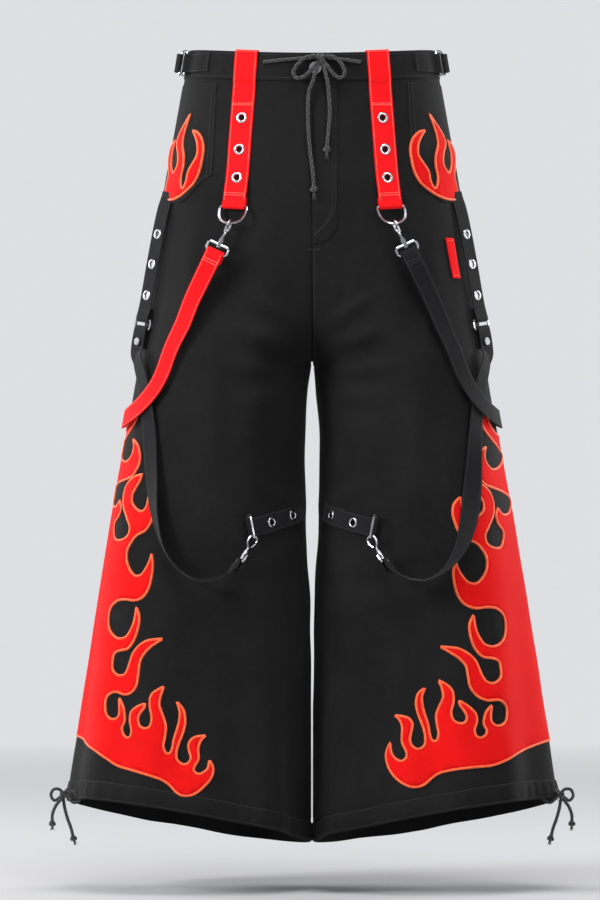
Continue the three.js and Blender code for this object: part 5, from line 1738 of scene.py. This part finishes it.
@dataclass
class Cords:
    """The waist drawstring and the hem drawstrings."""

    shop: Workshop
    lift: float = WAISTBAND_RAISE + GAP + CORD / 2

    def build(self) -> None:
        """Makes every cord, bow and knot."""
        self.waist()
        for side in Side:
            self.hem(side)

    def spot(self, x: float, drop: float, lift: float) -> Array:
        """Point off the front of the trousers at x and drop."""
        sign = -1 if x < 0 else 1
        return SHAPE.above(sign, SHAPE.front_angle(abs(x), drop), drop, lift)

    def cord(self, name: str, controls: Sequence[Array], lay: str, far_end: str, stands_for: Sequence[str],
             with_pieces: Sequence = (), count: int = 60):
        path = spline(np.array(controls), np.linspace(0, 1, count))
        points, faces, uv = tube(path, CORD / 2)
        finish = self.shop.palette.cord
        made = self.shop.piece(name, points, faces, finish, Hold(), "cotton_cord", uv, stands_for)
        length = arc_of(path)[-1] * MM
        LOG.info("%s: %.0f mm long", name, length / MM)
        tuple(path[0] * MM)
        (path * MM).tolist()
        list(with_pieces)
        return made

    def bundle(self, name: str, bundle: Bundle, stands_for: Sequence[str] = ()):
        """Makes a piece from a bundle of tubes."""
        points, uv = np.concatenate(bundle.points), np.concatenate(bundle.uv)
        finish = self.shop.palette.cord
        return self.shop.piece(name, points, bundle.faces, finish, Hold(), "cotton_cord", uv, stands_for)

    def tip(self, name: str, controls: Sequence[Array], knot: tuple, fringe: tuple, seed: int):
        """Makes a cord's knotted and frayed tip.

        Args:
            name: The piece's name.
            controls: The cord's control points.
            knot: How far past the end the knot is, its size and its cord's radius.
            fringe: How far past the end the threads start, how many there are and their length.
            seed: Seed of the threads' spread.

        Returns:
            The new object.
        """
        ahead = unit(controls[-1] - controls[-2])
        end = Bundle()
        end.knot(controls[-1] + ahead * knot[0], ahead, *knot[1:])
        end.fringe(controls[-1] + ahead * fringe[0], ahead, *fringe[1:], seed)
        return self.bundle(name, end)

    def waist(self) -> None:
        """Makes the waist drawstring: a run and a tail each side, and the bow between them."""
        bow = Bundle()
        middle = self.spot(11, 19, self.lift + 4.6)
        for places in (
            ((10, 17, 7), (1, 15, 9), (-9, 18, 10), (-19, 27, 9), (-24, 37, 8), (-20, 44, 8), (-10, 42, 9),
             (0, 32, 10), (9, 21, 8)),
            ((12, 17, 7), (21, 15, 9), (31, 19, 10), (39, 29, 9), (41, 39, 8), (35, 44, 8), (26, 38, 9),
             (19, 28, 10), (13, 21, 8)),
        ):
            ear = spline([self.spot(*p) for p in places], np.linspace(0, 1, 90))
            bow.add(tube(ear, CORD / 2, 14))
        wrap = np.linspace(0, 2 * np.pi * 1.6, 50)
        ring = np.stack([(wrap - wrap.mean()) * 0.75, -4.6 * np.cos(wrap), 5.2 * np.sin(wrap)], 1)
        bow.add(tube(middle + ring, CORD / 2, 14))
        bow_piece = self.bundle("bow_cord", bow, ["waist_bow"])
        routes = {
            Side.RIGHT: [(-63, 20), (-52, 19), (-38, 17.5), (-24, 16.5), (-10, 15.5), (3.2, 14.5)],
            Side.LEFT: [(63, 20), (54, 19), (44, 17.5), (34, 16.5), (27, 15.5), (18.6, 14.5)],
        }
        tails = {
            Side.RIGHT: [(8, 26, 9), (4, 37, 9.5), (1, 48, 9), (-4, 62, 7), (-5.5, 97, 5.2), (-3, 138, 4.6),
                         (1, 172, 4.4), (2, 188, 4.4)],
            Side.LEFT: [(14, 26, 9), (16.5, 37, 9.5), (19, 48, 9), (21, 62, 7), (22.5, 90, 5.2),
                        (21, 112, 4.8), (19.5, 128, 4.6), (19, 136, 4.6)],
        }
        for side in Side:
            controls = [self.spot(x, d + FRONT_DIP * 0.2, self.lift + 0.2 + k * 0.15)
                        for k, (x, d) in enumerate(routes[side])]
            pieces = [bow_piece] if side is Side.RIGHT else []
            name, node = f"drawstring_{side.word}", f"waist_cord_{side.word}"
            self.cord(name, controls, "hanging", "knot", [node], pieces)
            controls = [self.spot(*p) for p in tails[side]]
            knot = self.tip(f"drawstring_end_{side.word}", controls, (1.5, 1.15, CORD * 0.44), (4, 22, 12),
                            7 + side.value)
            name, node = f"drawstring_tail_{side.word}", f"waist_tail_{side.word}"
            self.cord(name, controls, "hanging", "knot", [node], [knot], 90)

    def hem(self, side: Side) -> None:
        """Makes a hem drawstring, with its bow and two ends."""
        sign = side.value
        drop = float(hem_edge(168)) - HEM_BAND_HEIGHT / 2
        start = SHAPE.above(sign, 168, drop, GAP)
        steps = [(0, 0, 0), (5, -2, -2), (9, -4, -9), (8, -6, -22), (4, -7, -38), (-1, -8, -52),
                 (-4, -9, -64)]
        controls = [start + np.array([sign * x, y, z]) for x, y, z in steps]
        bow = Bundle()
        middle = start + np.array([sign * 8.5, -6.5, -6.0])
        for ear in (((0, 0, 0), (7, -2, 6), (14, -3, 5), (17, -3, -3), (12, -3, -9), (4, -2, -4)),
                    ((0, 0, 0), (-8, -3, 3), (-17, -4, 0), (-21, -4, -8), (-14, -4, -12), (-4, -2, -5))):
            path = spline([middle + np.array([sign * x, y, z]) for x, y, z in ear], np.linspace(0, 1, 60))
            bow.add(tube(path, CORD / 2 - 0.2, 12))
        bow.knot(middle + np.array([0, -2.0, -1.0]), np.array([0.3 * sign, 0.0, 1.0]), 1.35, CORD * 0.42)
        bow_piece = self.bundle(f"hem_bow_{side.word}", bow)
        knot_size, fringe_size = (1, 1.1, CORD * 0.42), (3, 14, 8)
        knot = self.tip(f"hem_cord_end_{side.word}", controls, knot_size, fringe_size, 31 + sign)
        name, node = f"hem_drawstring_{side.word}", f"hem_cord_{side.word}"
        self.cord(name, controls, "hanging", "knot", [node], [bow_piece, knot])
        short = [(0, -1, -3), (5, -4, -9), (11, -6, -17), (15, -7, -28), (15, -8, -38)]
        controls = [middle + np.array([sign * x, y, z]) for x, y, z in short]
        knot = self.tip(f"hem_short_end_{side.word}", controls, knot_size, fringe_size, 51 + sign)
        self.cord(f"hem_short_cord_{side.word}", controls, "hanging", "knot", [], [knot], 40)


# ---- Metal, studio and camera -----------------------------------------------------------------


@dataclass
class Metal:
    """The rings, hooks, buckles and studs, which keep their own shapes from the frame."""

    palette: Palette
    words: tuple[str, ...] = ("ring", "hook", "gate", "loop", "buckle", "button", "stud", "slider")

    def finish(self, nodes: dict) -> None:
        """Gives every metal piece its plating."""
        for name, obj in nodes.items():
            if any(word in name.split("_") for word in self.words):
                obj.data.materials.clear()
                obj.data.materials.append(self.palette.nickel)
                LOG.info("%s: plated", name)


@dataclass
class StudioSet:
    """Floor, lights and camera."""

    view_height: float = 1.197
    camera_distance: float = 8.0
    middle: tuple[float, float, float] = (-0.016, -0.02, -0.532)
    floor: float = -1.118

    def build(self) -> None:
        """Makes the studio round the trousers."""
        self.camera()
        self.backdrop()
        self.lights()

    def camera(self) -> None:
        """Sets the camera straight in front."""
        data = bpy.data.cameras.new("camera")
        data.lens = 36 * self.camera_distance / self.view_height
        obj = linked("camera", data)
        obj.location = Vector(self.middle) + Vector((0, -self.camera_distance, 0))
        obj.rotation_euler = (math.pi / 2, 0, 0)
        bpy.context.scene.camera = obj

    def backdrop(self) -> None:
        """Makes one wide pale sweep of floor, open on every side."""
        points, faces = [], []
        rings, sides = 24, 64
        for k in range(rings + 1):
            radius = 14.0 * k / rings
            for i in range(sides):
                a = 2 * math.pi * i / sides
                points.append((radius * math.cos(a), radius * math.sin(a), self.floor))
        for k in range(rings):
            for i in range(sides):
                a, b = k * sides + i, k * sides + (i + 1) % sides
                faces.append((a, b, b + sides, a + sides) if k else (a, b + sides, a + sides))
        mesh = bpy.data.meshes.new("floor")
        mesh.from_pydata(points, [], faces)
        mesh.validate()
        mesh.materials.append(Studio("studio_paint", srgb(192, 193, 195), srgb(233, 234, 237)).build())
        linked("floor", mesh)

    def lights(self) -> None:
        """Makes two big soft lights in front, one above, two behind and a pale sky."""
        for name, place, size, power in (
            ("key", (-3.1, -1.9, 1.2), 1.3, 120),
            ("fill", (2.4, -3.4, 0.2), 1.8, 44),
            ("top", (0.2, -1.2, 2.3), 1.8, 60),
            ("rim_left", (-2.6, 1.6, 0.3), 1.4, 60),
            ("rim_right", (2.6, 1.6, 0.3), 1.4, 60),
        ):
            data = bpy.data.lights.new(name, "AREA")
            data.shape, data.size, data.energy = "SQUARE", size, power
            obj = linked(name, data)
            obj.location = place
            aim = Vector((0, 0, -0.55)) - Vector(place)
            obj.rotation_euler = aim.to_track_quat("-Z", "Y").to_euler()
        world = bpy.data.worlds.new("sky")
        world.use_nodes = True
        nodes, links = world.node_tree.nodes, world.node_tree.links
        sky = nodes["Background"]
        sky.inputs[0].default_value = srgb(233, 234, 237)
        ray, strength = nodes.new("ShaderNodeLightPath"), nodes.new("ShaderNodeMapRange")
        strength.inputs["To Min"].default_value = 0.38
        strength.inputs["To Max"].default_value = 0.9
        links.new(ray.outputs["Is Camera Ray"], strength.inputs["Value"])
        links.new(strength.outputs[0], sky.inputs[1])
        bpy.context.scene.world = world


def main() -> None:
    """Makes the finished trousers round the frame."""
    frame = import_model()
    bpy.context.scene.view_settings.view_transform = "Standard"
    StudioSet().build()
    palette = Palette()
    shop = Workshop(palette)
    Cords(shop).build()
    repeats = Repeats(shop)
    ClothPanels(shop, repeats).build()
    Flames(shop).build()
    Straps(shop, repeats).build()
    Metal(palette).finish(frame["nodes"])
    LOG.info("%d triangles in all", shop.triangles)


if __name__ == "__main__":
    main()
